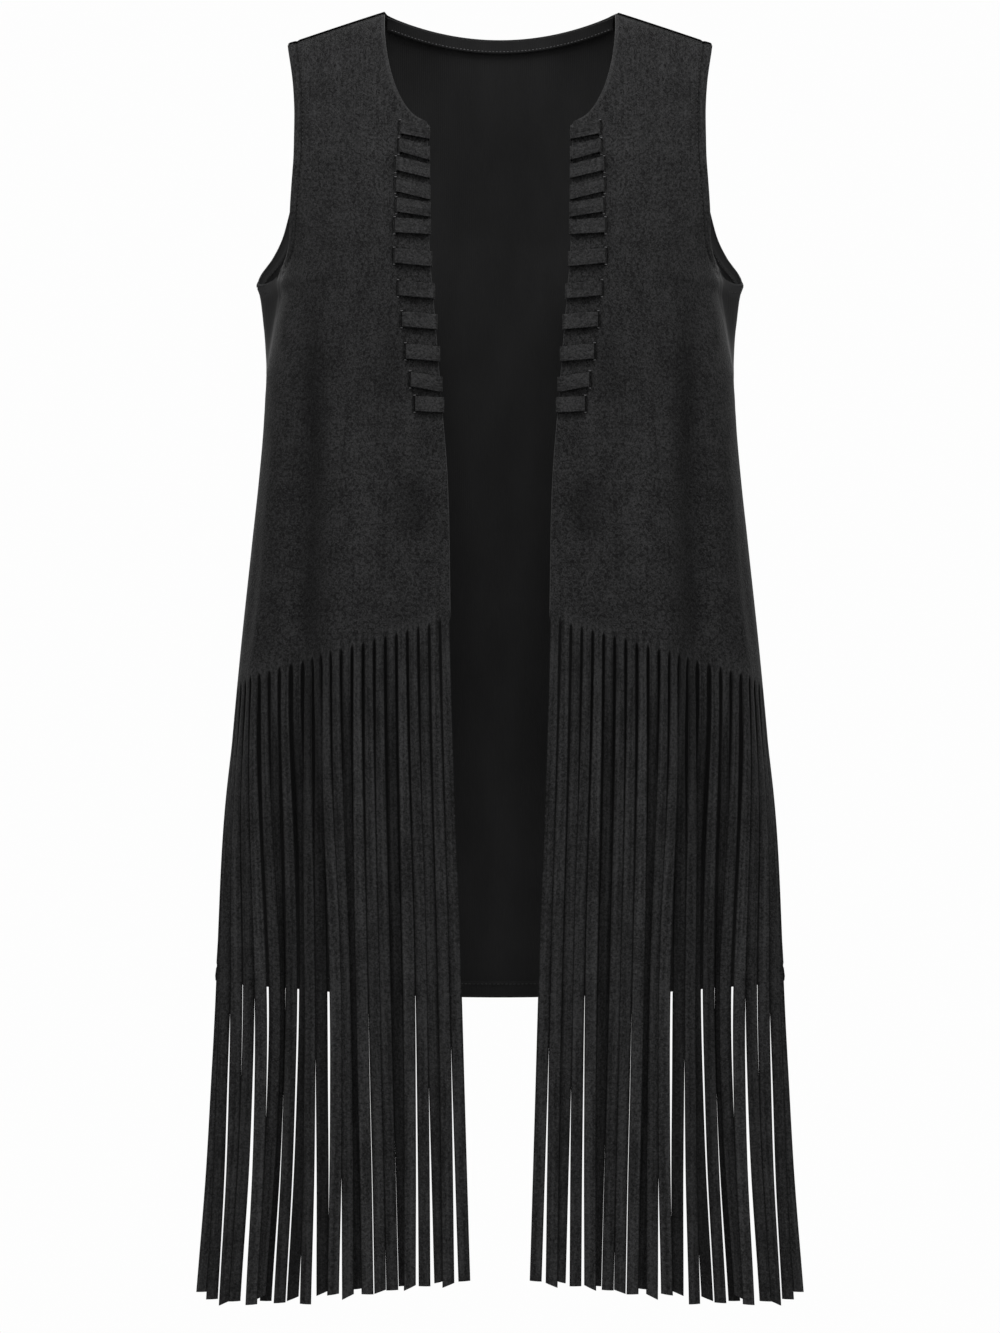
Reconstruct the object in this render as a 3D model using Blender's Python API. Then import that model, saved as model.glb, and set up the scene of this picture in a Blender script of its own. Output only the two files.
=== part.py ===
"""A long open-front vest: suede fronts laced along their edges and cut into a fringe, and a plain knit back.

The vest keeps the form of a wearer but is empty. X runs to the wearer's left, -Y to the front and +Z up, and
the origin lies between the two shoulder seams. Lengths are in metres. A turn is an angle in degrees round the
body, from 0 at the centre front through 90 at the wearer's left side to 180 at the centre back.
"""
import math

import bmesh
import bpy
import numpy as np
from mathutils import Matrix, Vector

# Cloth
SUEDE_WALL = 0.0016
KNIT_WALL = 0.0011
ARMHOLE_HEM_WALL = 0.0026
BACK_HEM_WALL = 0.0020
SEAM_GAP = 0.0004
SHOULDER_GAP = 0.0008
SUEDE_COLOUR = (0.036, 0.036, 0.037)
STRAP_COLOUR = (0.042, 0.042, 0.043)
KNIT_COLOUR = (0.024, 0.024, 0.025)

# Neck and shoulders
NECK_HALF_WIDTH = 0.0947
NECK_POINT_HEIGHT = 0.013
SHOULDER_HALF_WIDTH = 0.1734
SHOULDER_TIP_HEIGHT = -0.013
SHOULDER_SOFTENING = 0.05
SHOULDER_ROW_SHARE = 0.004
FRONT_NECK_CORNER_X = 0.0583
FRONT_NECK_DROP = 0.0956
BACK_NECK_DROP = 0.0171

# The body that fills the vest out
BODY_EXPONENT = 2.9
FRONT_DEPTH = 0.074
BACK_DEPTH = 0.065
DOME_HEIGHT = 0.20
DOME_EXPONENT = 1.6
DEPTH_FLARE = 0.5
NARROWEST_HEIGHT = -0.285
GIRTH_HEIGHT = -0.36

# Height, half width of the body
HALF_WIDTHS = (
    (-1.050, 0.2495),
    (-0.943, 0.2415),
    (-0.845, 0.2366),
    (-0.714, 0.2288),
    (-0.615, 0.2218),
    (-0.517, 0.2130),
    (-0.418, 0.2025),
    (-0.369, 0.1972),
    (-0.320, 0.1931),
    (-0.285, 0.1920),
    (-0.246, 0.1970),
    (-0.210, 0.2035),
    (-0.150, 0.1990),
    (-0.100, 0.1970),
    (0.060, 0.1955),
)
# Height, how far the fronts lie inside the back beside the armhole
SIDE_STEPS = (
    (-0.300, 0.0),
    (-0.250, 0.0105),
    (-0.2115, 0.0185),
    (-0.150, 0.0135),
    (-0.100, 0.0100),
    (0.060, 0.0095),
)
SIDE_STEP_END_TURN = 104.0

# Soft folds: turn at the top, turn at the foot, half width in turn, rise of the cloth, top and foot heights
FOLDS = (
    (49.0, 40.0, 6.0, -0.0085, -0.230, -0.560),
    (31.0, 27.0, 6.5, 0.0035, -0.300, -0.600),
    (66.0, 62.0, 6.0, 0.0025, -0.260, -0.600),
    (112.0, 108.0, 7.0, -0.0050, -0.330, -0.750),
    (134.0, 136.0, 7.0, 0.0045, -0.400, -0.760),
    (152.0, 157.0, 7.0, -0.0040, -0.300, -0.700),
    (199.0, 205.0, 7.0, -0.0050, -0.340, -0.740),
    (226.0, 222.0, 7.0, 0.0040, -0.420, -0.760),
    (246.0, 251.0, 7.0, -0.0045, -0.300, -0.720),
)
FOLD_FADE = 0.55

# Height, distance of the front edge from the centre plane
FRONT_EDGE = (
    (-1.060, 0.0225),
    (-0.901, 0.0284),
    (-0.789, 0.0312),
    (-0.615, 0.0347),
    (-0.534, 0.0372),
    (-0.482, 0.0394),
    (-0.401, 0.0408),
    (-0.360, 0.0426),
    (-0.307, 0.0470),
    (-0.275, 0.0495),
    (-0.243, 0.0521),
    (-0.214, 0.0545),
    (-0.188, 0.0565),
    (-0.147, 0.0575),
    (-0.0826, 0.0583),
)
SEAM_TURN = 86.0
SEAM_HALF_TURN = 0.15
UNDERARM_HEIGHT = -0.2115
# Height, turn of the armhole's edge
FRONT_ARMHOLE = (
    (-0.2115, 86.0),
    (-0.2085, 80.5),
    (-0.2030, 75.5),
    (-0.1930, 71.2),
    (-0.1758, 67.3),
    (-0.1514, 62.9),
    (-0.1150, 58.8),
    (-0.0905, 58.1),
    (-0.0662, 58.3),
    (-0.0418, 60.2),
    (-0.0130, 64.6),
)
BACK_ARMHOLE = (
    (-0.2115, 86.0),
    (-0.2100, 97.0),
    (-0.2040, 105.0),
    (-0.1870, 114.7),
    (-0.1720, 120.1),
    (-0.1500, 126.5),
    (-0.1150, 129.3),
    (-0.0660, 128.6),
    (-0.0300, 126.2),
    (-0.0130, 123.1),
)
ARMHOLE_MID_HEIGHT = -0.105
ARMHOLE_HEM_TURN = 3.4
YOKE_FRONT_HEIGHT = -0.4771
YOKE_SIDE_HEIGHT = -0.5303
BACK_HEM_CENTRE_HEIGHT = -0.7999
BACK_HEM_SIDE_HEIGHT = -0.7775
BACK_HEM_DEPTH = 0.0115

# Back neck facing
FACING_DEPTH = 0.009
FACING_WALL = 0.0010
FACING_GAP = 0.0010
FACING_END = 0.006
FACING_COLUMNS = 22

# Fringe
BACKING_DEPTH = 0.005
STRIP_WALL = 0.0013
STRIP_TIP_WIDTH = 0.0090
STRIP_CUT = 0.0004
FRONT_STRIP_LENGTH = 0.5302
SIDE_STRIP_LENGTH = 0.4952
STRIP_LENGTH_BOW = 0.008
STRIP_LIFT_SHARE = 0.2
STRIP_RINGS = (0.08, 0.2, 0.35, 0.5, 0.66, 0.83, 1.0)
# From the front edge to the side: distance from the centre plane at half length, at the tip, lift, tip twist
STRIPS = (
    (0.0364, 0.0283, 0.000, 8.0),
    (0.0456, 0.0412, 0.001, -6.0),
    (0.0547, 0.0509, -0.001, 34.0),
    (0.0634, 0.0603, 0.000, -9.0),
    (0.0729, 0.0717, 0.002, 5.0),
    (0.0824, 0.0765, -0.004, -8.0),
    (0.0924, 0.0858, 0.000, 6.0),
    (0.1011, 0.0965, 0.001, -12.0),
    (0.1104, 0.1069, 0.003, 5.0),
    (0.1190, 0.1135, -0.004, 8.0),
    (0.1240, 0.1213, 0.000, -8.0),
    (0.1318, 0.1320, 0.002, 10.0),
    (0.1446, 0.1427, -0.004, -6.0),
    (0.1527, 0.1579, 0.000, -12.0),
    (0.1592, 0.1654, -0.004, 8.0),
    (0.1682, 0.1716, 0.001, 7.0),
    (0.1750, 0.1846, -0.004, -9.0),
    (0.1835, 0.1930, 0.000, 6.0),
    (0.1955, 0.2003, 0.003, -6.0),
    (0.2065, 0.2116, 0.000, 10.0),
    (0.2171, 0.2240, 0.001, -8.0),
    (0.2255, 0.2351, 0.000, 10.0),
    (0.2312, 0.2440, 0.001, -6.0),
)

# Lacing
STRAP_WIDTH = 0.0122
STRAP_WALL = 0.0010
STRAP_GAP = 0.0005
STRAP_TAIL = 0.012
STRAP_TAIL_RISE = 0.004
SLIT_LENGTH = 0.0138
TURN_STEPS = 4
RUN_STEPS = 3
# Slit height, slit distance from the front edge, fall of the strap from slit to edge
WRAPS = (
    (-0.0895, 0.0216, 0.0032),
    (-0.1051, 0.0241, 0.0040),
    (-0.1199, 0.0267, 0.0042),
    (-0.1371, 0.0270, 0.0040),
    (-0.1531, 0.0293, 0.0024),
    (-0.1691, 0.0296, 0.0006),
    (-0.1940, 0.0300, 0.0009),
    (-0.2196, 0.0300, 0.0017),
    (-0.2444, 0.0284, 0.0016),
    (-0.2701, 0.0264, 0.0016),
    (-0.2925, 0.0249, 0.0036),
    (-0.3125, 0.0224, -0.0006),
)


def remove_startup_objects():
    for obj in list(bpy.data.objects):
        bpy.data.objects.remove(obj, do_unlink=True)


def mix(first, last, share):
    return first + (last - first) * share


def ease(share):
    """0 to 1 with a soft start and end."""
    share = min(max(share, 0.0), 1.0)
    return share * share * (3.0 - 2.0 * share)


def table_at(table, at):
    """The second column of a table at a value of its first, on a smooth curve through the rows."""
    at = min(max(at, table[0][0]), table[-1][0])
    last = len(table) - 1
    row = 0
    while row < last - 1 and at > table[row + 1][0]:
        row += 1

    def slope(index):
        before = table[max(index - 1, 0)]
        after = table[min(index + 1, last)]
        return (after[1] - before[1]) / (after[0] - before[0])

    step = table[row + 1][0] - table[row][0]
    s = (at - table[row][0]) / step
    start = table[row][1] * (1 + 2 * s) * (1 - s) ** 2 + slope(row) * step * s * (1 - s) ** 2
    end = table[row + 1][1] * s * s * (3 - 2 * s) + slope(row + 1) * step * s * s * (s - 1)
    return start + end


# The form of the cloth's outer face on the wearer's left

def shoulder_height(across):
    """Height of the shoulder line at a distance from the centre plane."""
    def run(x):
        return math.hypot(x, SHOULDER_SOFTENING)

    slope = (NECK_POINT_HEIGHT - SHOULDER_TIP_HEIGHT) / (run(SHOULDER_HALF_WIDTH) - run(NECK_HALF_WIDTH))
    return NECK_POINT_HEIGHT - slope * (run(across) - run(NECK_HALF_WIDTH))


def from_front(turn):
    """The turn from the centre front, on either side."""
    return min(turn, 360.0 - turn)


def half_width(turn, height):
    past_seam = from_front(turn) - SEAM_TURN
    step = table_at(SIDE_STEPS, height) * (1.0 - ease(past_seam / (SIDE_STEP_END_TURN - SEAM_TURN)))
    return table_at(HALF_WIDTHS, height) - step


def depth(turn, height, across):
    """Depth of the body below the shoulder line, rounding over at the top and flaring with the width."""
    drop = min(max((shoulder_height(across) - height) / DOME_HEIGHT, 0.0), 1.0)
    dome = (1.0 - (1.0 - drop) ** DOME_EXPONENT) ** (1.0 / DOME_EXPONENT)
    narrowest = table_at(HALF_WIDTHS, NARROWEST_HEIGHT)
    flare = 1.0 + DEPTH_FLARE * (table_at(HALF_WIDTHS, min(height, NARROWEST_HEIGHT)) / narrowest - 1.0)
    return (FRONT_DEPTH if from_front(turn) < 90.0 else BACK_DEPTH) * dome * flare


def body(turn, height):
    """A point on the plain body, with the fronts and the back parted at the shoulder line."""
    sine = math.sin(math.radians(turn))
    cosine = math.cos(math.radians(turn))
    across = half_width(turn, height) * math.copysign(abs(sine) ** (2.0 / BODY_EXPONENT), sine)
    back = -math.copysign(abs(cosine) ** (2.0 / BODY_EXPONENT), cosine)
    back = depth(turn, height, across) * back + math.copysign(SHOULDER_GAP / 2, back)
    return Vector((across, back, height))


def fold_rise(turn, height):
    total = 0.0
    for top_turn, foot_turn, half_turn, rise, top, foot in FOLDS:
        share = (top - height) / (top - foot)
        centre = mix(top_turn, foot_turn, min(max(share, 0.0), 1.0))
        total += rise * ease(share / FOLD_FADE) * math.exp(-(((turn - centre) / half_turn) ** 2))
    return total


def cloth(turn, height, out=0.0):
    """A point on the cloth's outer face, or that far out from it."""
    rise = fold_rise(turn, height)
    ahead = body(turn + 0.5, height) - body(turn - 0.5, height)
    point = body(turn, height) + Vector((ahead.y, -ahead.x, 0.0)).normalized() * rise
    if out:
        point += cloth_normal(turn, height) * out
    return point


def cloth_normal(turn, height):
    round_body = cloth(turn + 0.5, height) - cloth(turn - 0.5, height)
    upward = cloth(turn, height + 0.001) - cloth(turn, height - 0.001)
    return round_body.cross(upward).normalized()


def front_turn(across, height):
    """The turn at which the front lies that far from the centre plane."""
    share = min(max(across, 0.0) / half_width(0.0, height), 1.0)
    return math.degrees(math.asin(share ** (BODY_EXPONENT / 2.0)))


def front_edge_turn(height):
    return front_turn(table_at(FRONT_EDGE, height), height)


def girth_marks():
    """Each whole turn, and the length of cloth from the centre front to it at one level."""
    lengths = [0.0]
    for turn in range(1, 361):
        lengths.append(lengths[-1] + (body(turn, GIRTH_HEIGHT) - body(turn - 1, GIRTH_HEIGHT)).length)
    return range(361), lengths


GIRTH_TURNS, GIRTH_LENGTHS = girth_marks()


def girth_share(turn, first, last):
    """Share of the cloth's length between two turns at which a third lies."""
    start, at, end = np.interp((first, turn, last), GIRTH_TURNS, GIRTH_LENGTHS)
    return (at - start) / (end - start)


def even_turns(first, last, count):
    """Turns that part the cloth between two turns into equal lengths."""
    start, end = np.interp((first, last), GIRTH_TURNS, GIRTH_LENGTHS)
    return np.interp(np.linspace(start, end, count + 1), GIRTH_LENGTHS, GIRTH_TURNS).tolist()


# Solids

def cloth_material(name, colour, roughness):
    material = bpy.data.materials.new(name)
    material.use_nodes = True
    shader = material.node_tree.nodes["Principled BSDF"]
    shader.inputs["Base Color"].default_value = (*colour, 1.0)
    shader.inputs["Roughness"].default_value = roughness
    return material


def add_object(name, bm, side, material):
    """An object from a mesh made for the wearer's left, mirrored when the side is -1."""
    if side < 0:
        for vert in bm.verts:
            vert.co.x = -vert.co.x
        bmesh.ops.reverse_faces(bm, faces=bm.faces[:])
    mesh = bpy.data.meshes.new(name)
    bm.to_mesh(mesh)
    bm.free()
    obj = bpy.data.objects.new(name, mesh)
    bpy.context.collection.objects.link(obj)
    if material:
        mesh.materials.append(material)
    return obj


def add_panel(name, places, hems, side, wall, hem_wall, material):
    """A cloth panel from rows of points on its outer face; hems holds a weight from 0 to 1 for each point."""
    rows = len(places) - 1
    columns = len(places[0]) - 1
    bm = bmesh.new()
    bmesh.ops.create_grid(bm, x_segments=columns, y_segments=rows, size=0.5)
    weights = []
    for vert in bm.verts:
        column = round((vert.co.x + 0.5) * columns)
        row = round((vert.co.y + 0.5) * rows)
        vert.co = places[row][column]
        weights.append(hems[row][column])
    panel = add_object(name, bm, side, material)
    group = panel.vertex_groups.new(name="turned_hem")
    for index, weight in enumerate(weights):
        group.add([index], weight, "REPLACE")
    solidify = panel.modifiers.new("wall", "SOLIDIFY")
    solidify.thickness = hem_wall
    solidify.offset = -1.0
    solidify.use_even_offset = True
    solidify.vertex_group = group.name
    solidify.thickness_vertex_group = wall / hem_wall
    return panel


def extrude_to(bm, face, corners):
    """Extrude a face so that its corners land on the points given for them, and return the new face."""
    face = bmesh.ops.extrude_discrete_faces(bm, faces=[face])["faces"][0]
    for vert, corner in zip(face.verts, corners):
        vert.co = corner
    return face


def sweep(bm, rings):
    """A solid through rings of four corners, closed at both ends. Returns each ring's vertices."""
    face = bm.faces.new([bm.verts.new(corner) for corner in rings[0]])
    swept = [face.verts[:]]
    for corners in rings[1:]:
        face = extrude_to(bm, face, corners)
        swept.append(face.verts[:])
    bm.faces.new(swept[0])
    bmesh.ops.recalc_face_normals(bm, faces=bm.faces[:])
    return swept


# Rows of the panels, from their lower edge to the shoulder seam

def upper_shares(steps):
    """Shares of the drop left below the shoulder line, closing up toward it."""
    shares = [math.cos(math.radians(90.0 * (1.0 - (1.0 - step / steps) ** 1.7))) for step in range(1, steps)]
    return shares + [SHOULDER_ROW_SHARE, 0.0]


def armhole_heights(steps):
    """Heights up the lower half of the armhole, closer together at the underarm."""
    return [mix(UNDERARM_HEIGHT, ARMHOLE_MID_HEIGHT, (step / steps) ** 1.6) for step in range(1, steps + 1)]


def front_row_ends(seam_steps=11, armhole_steps=7, top_steps=8):
    """Turn and height of each row's ends, at the front edge and at the side, and its share of the bend."""
    corner = NECK_POINT_HEIGHT - FRONT_NECK_DROP
    seam_turn = SEAM_TURN - SEAM_HALF_TURN
    rows = []
    for step in range(seam_steps + 1):
        edge = mix(YOKE_FRONT_HEIGHT + SEAM_GAP / 2, UNDERARM_HEIGHT, step / seam_steps)
        side = mix(YOKE_SIDE_HEIGHT + SEAM_GAP / 2, UNDERARM_HEIGHT, step / seam_steps)
        rows.append((front_edge_turn(edge), edge, seam_turn, side, 0.0))
    for step, side in enumerate(armhole_heights(armhole_steps), 1):
        edge = mix(UNDERARM_HEIGHT, corner, step / armhole_steps)
        rows.append((front_edge_turn(edge), edge, min(table_at(FRONT_ARMHOLE, side), seam_turn), side, 0.0))
    for left in upper_shares(top_steps):
        edge = NECK_POINT_HEIGHT - FRONT_NECK_DROP * left
        across = FRONT_NECK_CORNER_X + (NECK_HALF_WIDTH - FRONT_NECK_CORNER_X) * math.sqrt(1.0 - left * left)
        side = mix(SHOULDER_TIP_HEIGHT, ARMHOLE_MID_HEIGHT, left)
        rows.append((front_turn(across, edge), edge, table_at(FRONT_ARMHOLE, side), side, 1.0 - left))
    return rows


def build_front(side, name, material, columns=20):
    places = []
    hems = []
    for edge_turn, edge_height, side_turn, side_height, bend in front_row_ends():
        on_armhole = side_height > UNDERARM_HEIGHT and bend < 0.99
        inner_turn = side_turn - ARMHOLE_HEM_TURN
        turns = even_turns(edge_turn, inner_turn, columns - 1) + [side_turn]
        row = []
        for turn in turns:
            share = girth_share(turn, edge_turn, side_turn)
            height = mix(edge_height, side_height, share)
            seam_height = shoulder_height(body(turn, height).x)
            height += bend * (seam_height - mix(NECK_POINT_HEIGHT, SHOULDER_TIP_HEIGHT, share))
            row.append(cloth(turn, height))
        places.append(row)
        hems.append([0.0] * (columns - 1) + [float(on_armhole)] * 2)
    panel = add_panel(name, places, hems, side, SUEDE_WALL, ARMHOLE_HEM_WALL, material)
    slits = panel.modifiers.new("slits", "BOOLEAN")
    slits.operation = "DIFFERENCE"
    slits.solver = "EXACT"
    slits.object = build_slit_cutter(side, name + "_slit_cutter")
    return panel


def back_row_ends(seam_steps=15, armhole_steps=7, top_steps=8):
    """Height of each row at the centre back, turn and height of its end, and its share of the bend."""
    hem_row = BACK_HEM_DEPTH / (UNDERARM_HEIGHT - BACK_HEM_SIDE_HEIGHT)
    shares = [0.0] + [mix(hem_row, 1.0, step / seam_steps) for step in range(seam_steps + 1)]
    neck_height = NECK_POINT_HEIGHT - BACK_NECK_DROP
    ends = []
    for share in shares:
        middle = mix(BACK_HEM_CENTRE_HEIGHT, UNDERARM_HEIGHT, share)
        side = mix(BACK_HEM_SIDE_HEIGHT, UNDERARM_HEIGHT, share)
        ends.append((middle, SEAM_TURN + SEAM_HALF_TURN, side, 0.0))
    for step, side in enumerate(armhole_heights(armhole_steps), 1):
        turn = max(table_at(BACK_ARMHOLE, side), SEAM_TURN + SEAM_HALF_TURN)
        ends.append((mix(UNDERARM_HEIGHT, ARMHOLE_MID_HEIGHT, step / armhole_steps), turn, side, 0.0))
    for left in upper_shares(top_steps):
        middle = mix(neck_height, ARMHOLE_MID_HEIGHT, left)
        side = mix(SHOULDER_TIP_HEIGHT, ARMHOLE_MID_HEIGHT, left)
        ends.append((middle, table_at(BACK_ARMHOLE, side), side, 1.0 - left))
    return ends


def build_back(material, half_columns=17):
    neck_height = NECK_POINT_HEIGHT - BACK_NECK_DROP
    places = []
    hems = []
    for row, (middle, side_turn, side, bend) in enumerate(back_row_ends()):
        on_armhole = side > UNDERARM_HEIGHT and bend < 0.99
        turns = [side_turn] + back_turns(side_turn + ARMHOLE_HEM_TURN, half_columns - 1)
        turns += [360.0 - turn for turn in reversed(turns[:-1])]
        points = []
        for turn in turns:
            share = abs(2.0 * girth_share(turn, side_turn, 360.0 - side_turn) - 1.0)
            height = mix(middle, side, share * share)
            height += bend * (top_height(turn) - mix(neck_height, SHOULDER_TIP_HEIGHT, share * share))
            points.append(cloth(turn, height))
        places.append(points)
        weights = [float(on_armhole or row < 2)] * 2 + [float(row < 2)] * (half_columns - 1)
        hems.append(weights + weights[-2::-1])
    return add_panel("back", places, hems, 1, KNIT_WALL, BACK_HEM_WALL, material)


def back_turns(first, count):
    """Turns from a point beside the armhole to the centre back, one of them at the neck point."""
    neck = 180.0 - math.degrees(
        math.asin((NECK_HALF_WIDTH / half_width(150.0, NECK_POINT_HEIGHT)) ** (BODY_EXPONENT / 2.0)))
    neck_columns = count * 9 // 16
    return even_turns(first, neck, count - neck_columns) + even_turns(neck, 180.0, neck_columns)[1:]


def top_height(turn):
    """Height of the back's top edge: the neckline's dip, then the shoulder seam."""
    across = abs(body(turn, NECK_POINT_HEIGHT).x)
    if across >= NECK_HALF_WIDTH - 1e-6:
        return shoulder_height(across)
    return NECK_POINT_HEIGHT - BACK_NECK_DROP * (1.0 - (across / NECK_HALF_WIDTH) ** 2)


def build_facing(material):
    """The strip inside the back's neck edge, from one neck point to the other."""
    first = 180.0 - math.degrees(
        math.asin(((NECK_HALF_WIDTH - FACING_END) / half_width(150.0, 0.0)) ** (BODY_EXPONENT / 2.0)))
    outside = -(KNIT_WALL + FACING_GAP)
    rings = []
    for turn in even_turns(first, 360.0 - first, FACING_COLUMNS):
        top = top_height(turn) - SEAM_GAP
        rings.append([
            cloth(turn, top, outside),
            cloth(turn, top - FACING_DEPTH, outside),
            cloth(turn, top - FACING_DEPTH, outside - FACING_WALL),
            cloth(turn, top, outside - FACING_WALL),
        ])
    bm = bmesh.new()
    sweep(bm, rings)
    return add_object("neck_facing", bm, 1, material)


# Fringe

def yoke(turn):
    """Height of the line from which the fringe hangs."""
    share = girth_share(turn, front_edge_turn(YOKE_FRONT_HEIGHT), SEAM_TURN - SEAM_HALF_TURN)
    return mix(YOKE_FRONT_HEIGHT, YOKE_SIDE_HEIGHT, share)


def backing_ring(turn):
    top = yoke(turn) - SEAM_GAP / 2
    return [
        cloth(turn, top),
        cloth(turn, top, -STRIP_WALL),
        cloth(turn, top - BACKING_DEPTH, -STRIP_WALL),
        cloth(turn, top - BACKING_DEPTH),
    ]


def strip_rings(start, stop, shape, length):
    """Corners of one hanging strip below the backing, from its root between two turns to its tip."""
    half_across, tip_across, lift, twist = shape
    root_turn = (start + stop) / 2
    root_height = yoke(root_turn) - SEAM_GAP / 2 - BACKING_DEPTH
    root_width = (cloth(stop, root_height) - cloth(start, root_height)).length
    half_turn = front_turn(half_across, root_height - length / 2)
    tip_turn = front_turn(tip_across, root_height - length)
    rings = []
    for share in STRIP_RINGS:
        height = root_height - length * share
        path = ((0.0, root_turn), (0.5, half_turn), (1.0, tip_turn))
        turn = table_at(path, share)
        out = lift * ease(share / STRIP_LIFT_SHARE)
        centre = cloth(turn, height, out - STRIP_WALL / 2)
        normal = cloth_normal(turn, height)
        across = Vector((-normal.y, normal.x, 0.0)).normalized()
        normal = across.cross(Vector((0.0, 0.0, 1.0)))
        angle = math.radians(twist) * ease(share)
        width = mix(root_width, STRIP_TIP_WIDTH, share)
        wide = (across * math.cos(angle) + normal * math.sin(angle)) * width / 2
        thick = (normal * math.cos(angle) - across * math.sin(angle)) * STRIP_WALL / 2
        start_side = centre - wide
        stop_side = centre + wide
        rings.append([start_side + thick, start_side - thick, stop_side - thick, stop_side + thick])
    return rings


def build_fringe(side, name, material):
    edge_turn = front_edge_turn(YOKE_FRONT_HEIGHT)
    bounds = even_turns(edge_turn, SEAM_TURN - SEAM_HALF_TURN, len(STRIPS))
    turns = [bounds[0]]
    for bound in bounds[1:-1]:
        length_of_turn = (body(bound + 0.5, YOKE_SIDE_HEIGHT) - body(bound - 0.5, YOKE_SIDE_HEIGHT)).length
        half_cut = STRIP_CUT / 2 / length_of_turn
        turns += [bound - half_cut, bound + half_cut]
    turns.append(bounds[-1])

    bm = bmesh.new()
    rings = [backing_ring(turn) for turn in turns]
    swept = sweep(bm, rings)
    for index, shape in enumerate(STRIPS):
        start = swept[2 * index]
        stop = swept[2 * index + 1]
        root = [start[3], start[2], stop[2], stop[3]]
        face = bm.faces.get(root)
        share = index / (len(STRIPS) - 1)
        bow = STRIP_LENGTH_BOW * 4 * share * (1 - share)
        length = mix(FRONT_STRIP_LENGTH, SIDE_STRIP_LENGTH, share) + bow
        order = [root.index(vert) for vert in face.verts]
        for ring in strip_rings(turns[2 * index], turns[2 * index + 1], shape, length):
            face = extrude_to(bm, face, [ring[corner] for corner in order])
    bmesh.ops.recalc_face_normals(bm, faces=bm.faces[:])
    return add_object(name, bm, side, material)


# Lacing

def on_front(across, height, out):
    """A point at a distance from the centre plane, out from the front's outer face."""
    turn = front_turn(across, height)
    return cloth(turn, height, out)


def strap_corners(across, height, out, along, outward):
    """Corners of the strap's section, whose thickness points along the cloth or out of it."""
    corners = []
    for up, thick in ((-1, -1), (1, -1), (1, 1), (-1, 1)):
        shift = thick * STRAP_WALL / 2
        level = height + up * STRAP_WIDTH / 2
        corners.append(on_front(across + shift * along, level, out + shift * outward))
    return corners


def strap_rings():
    """The strap's sections in order: in through a slit, over the front edge, and on to the next slit."""
    middle = -SUEDE_WALL / 2
    radius = SUEDE_WALL / 2 + STRAP_GAP + STRAP_WALL / 2
    rings = []

    def add_turn(across, height, first, last):
        for step in range(TURN_STEPS + 1):
            angle = math.radians(mix(first, last, step / TURN_STEPS))
            along = math.cos(angle)
            outward = math.sin(angle)
            place = (across + radius * along, height, middle + radius * outward)
            rings.append(strap_corners(*place, along, outward))

    edge = None
    for slit_height, slit_run, fall in WRAPS:
        slit = table_at(FRONT_EDGE, slit_height) + slit_run
        start = edge or (slit - STRAP_TAIL, slit_height + STRAP_TAIL_RISE)
        if edge is None:
            rings.append(strap_corners(*start, middle - radius, 0.0, -1.0))
        for step in range(1, RUN_STEPS):
            share = step / RUN_STEPS
            place = (mix(start[0], slit, share), mix(start[1], slit_height, share), middle - radius)
            rings.append(strap_corners(*place, 0.0, -1.0))
        add_turn(slit, slit_height, -90.0, 90.0)
        edge_height = slit_height - fall
        edge = (table_at(FRONT_EDGE, edge_height), edge_height)
        for step in range(1, RUN_STEPS):
            share = step / RUN_STEPS
            place = (mix(slit, edge[0], share), mix(slit_height, edge_height, share), middle + radius)
            rings.append(strap_corners(*place, 0.0, 1.0))
        add_turn(*edge, 90.0, 270.0)
    tail = (edge[0] + STRAP_TAIL, edge[1] - STRAP_TAIL_RISE, middle - radius)
    rings.append(strap_corners(*tail, 0.0, -1.0))
    return rings


def build_lacing(side, name, material):
    bm = bmesh.new()
    sweep(bm, strap_rings())
    return add_object(name, bm, side, material)


def build_slit_cutter(side, name):
    """Blocks that cut the slits, each square to the cloth."""
    reach = SUEDE_WALL + 2 * STRAP_GAP + STRAP_WALL
    bm = bmesh.new()
    for slit_height, slit_run, _ in WRAPS:
        across = table_at(FRONT_EDGE, slit_height) + slit_run + reach / 2
        turn = front_turn(across, slit_height)
        normal = cloth_normal(turn, slit_height)
        up = (cloth(turn, slit_height + 0.001) - cloth(turn, slit_height - 0.001)).normalized()
        along = normal.cross(up).normalized()
        frame = Matrix((along, normal, up)).transposed().to_4x4()
        frame.translation = cloth(turn, slit_height, -SUEDE_WALL / 2)
        size = Matrix.Diagonal((reach, SUEDE_WALL * 5, SLIT_LENGTH, 1.0))
        bmesh.ops.create_cube(bm, size=1.0, matrix=frame @ size)
    cutter = add_object(name, bm, side, None)
    cutter.hide_render = True
    cutter.display_type = "WIRE"
    return cutter


def build_vest():
    remove_startup_objects()
    build_back(cloth_material("back_knit", KNIT_COLOUR, 0.80))
    build_facing(cloth_material("facing_knit", KNIT_COLOUR, 0.80))
    for side, label in ((1, "left"), (-1, "right")):
        build_front(side, "front_" + label, cloth_material("suede_front_" + label, SUEDE_COLOUR, 0.95))
        build_fringe(side, "fringe_" + label, cloth_material("suede_fringe_" + label, SUEDE_COLOUR, 0.95))
        build_lacing(side, "lacing_" + label, cloth_material("suede_strap_" + label, STRAP_COLOUR, 0.95))


build_vest()
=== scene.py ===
"""Looks of a long open vest: suede fronts cut into a fringe and laced along their edges, and a knit back.

Lengths are in metres. X runs to the wearer's left, -Y to the front and +Z up. A turn is an angle in degrees
round the body, from 0 at the centre front through 90 at the wearer's left side to 180 at the centre back.
The back is worked out whole. The other pieces are worked out on the left and mirrored to the right.
"""
import math

import bmesh
import bpy
import numpy as np
from mathutils import Matrix, Vector


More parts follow.
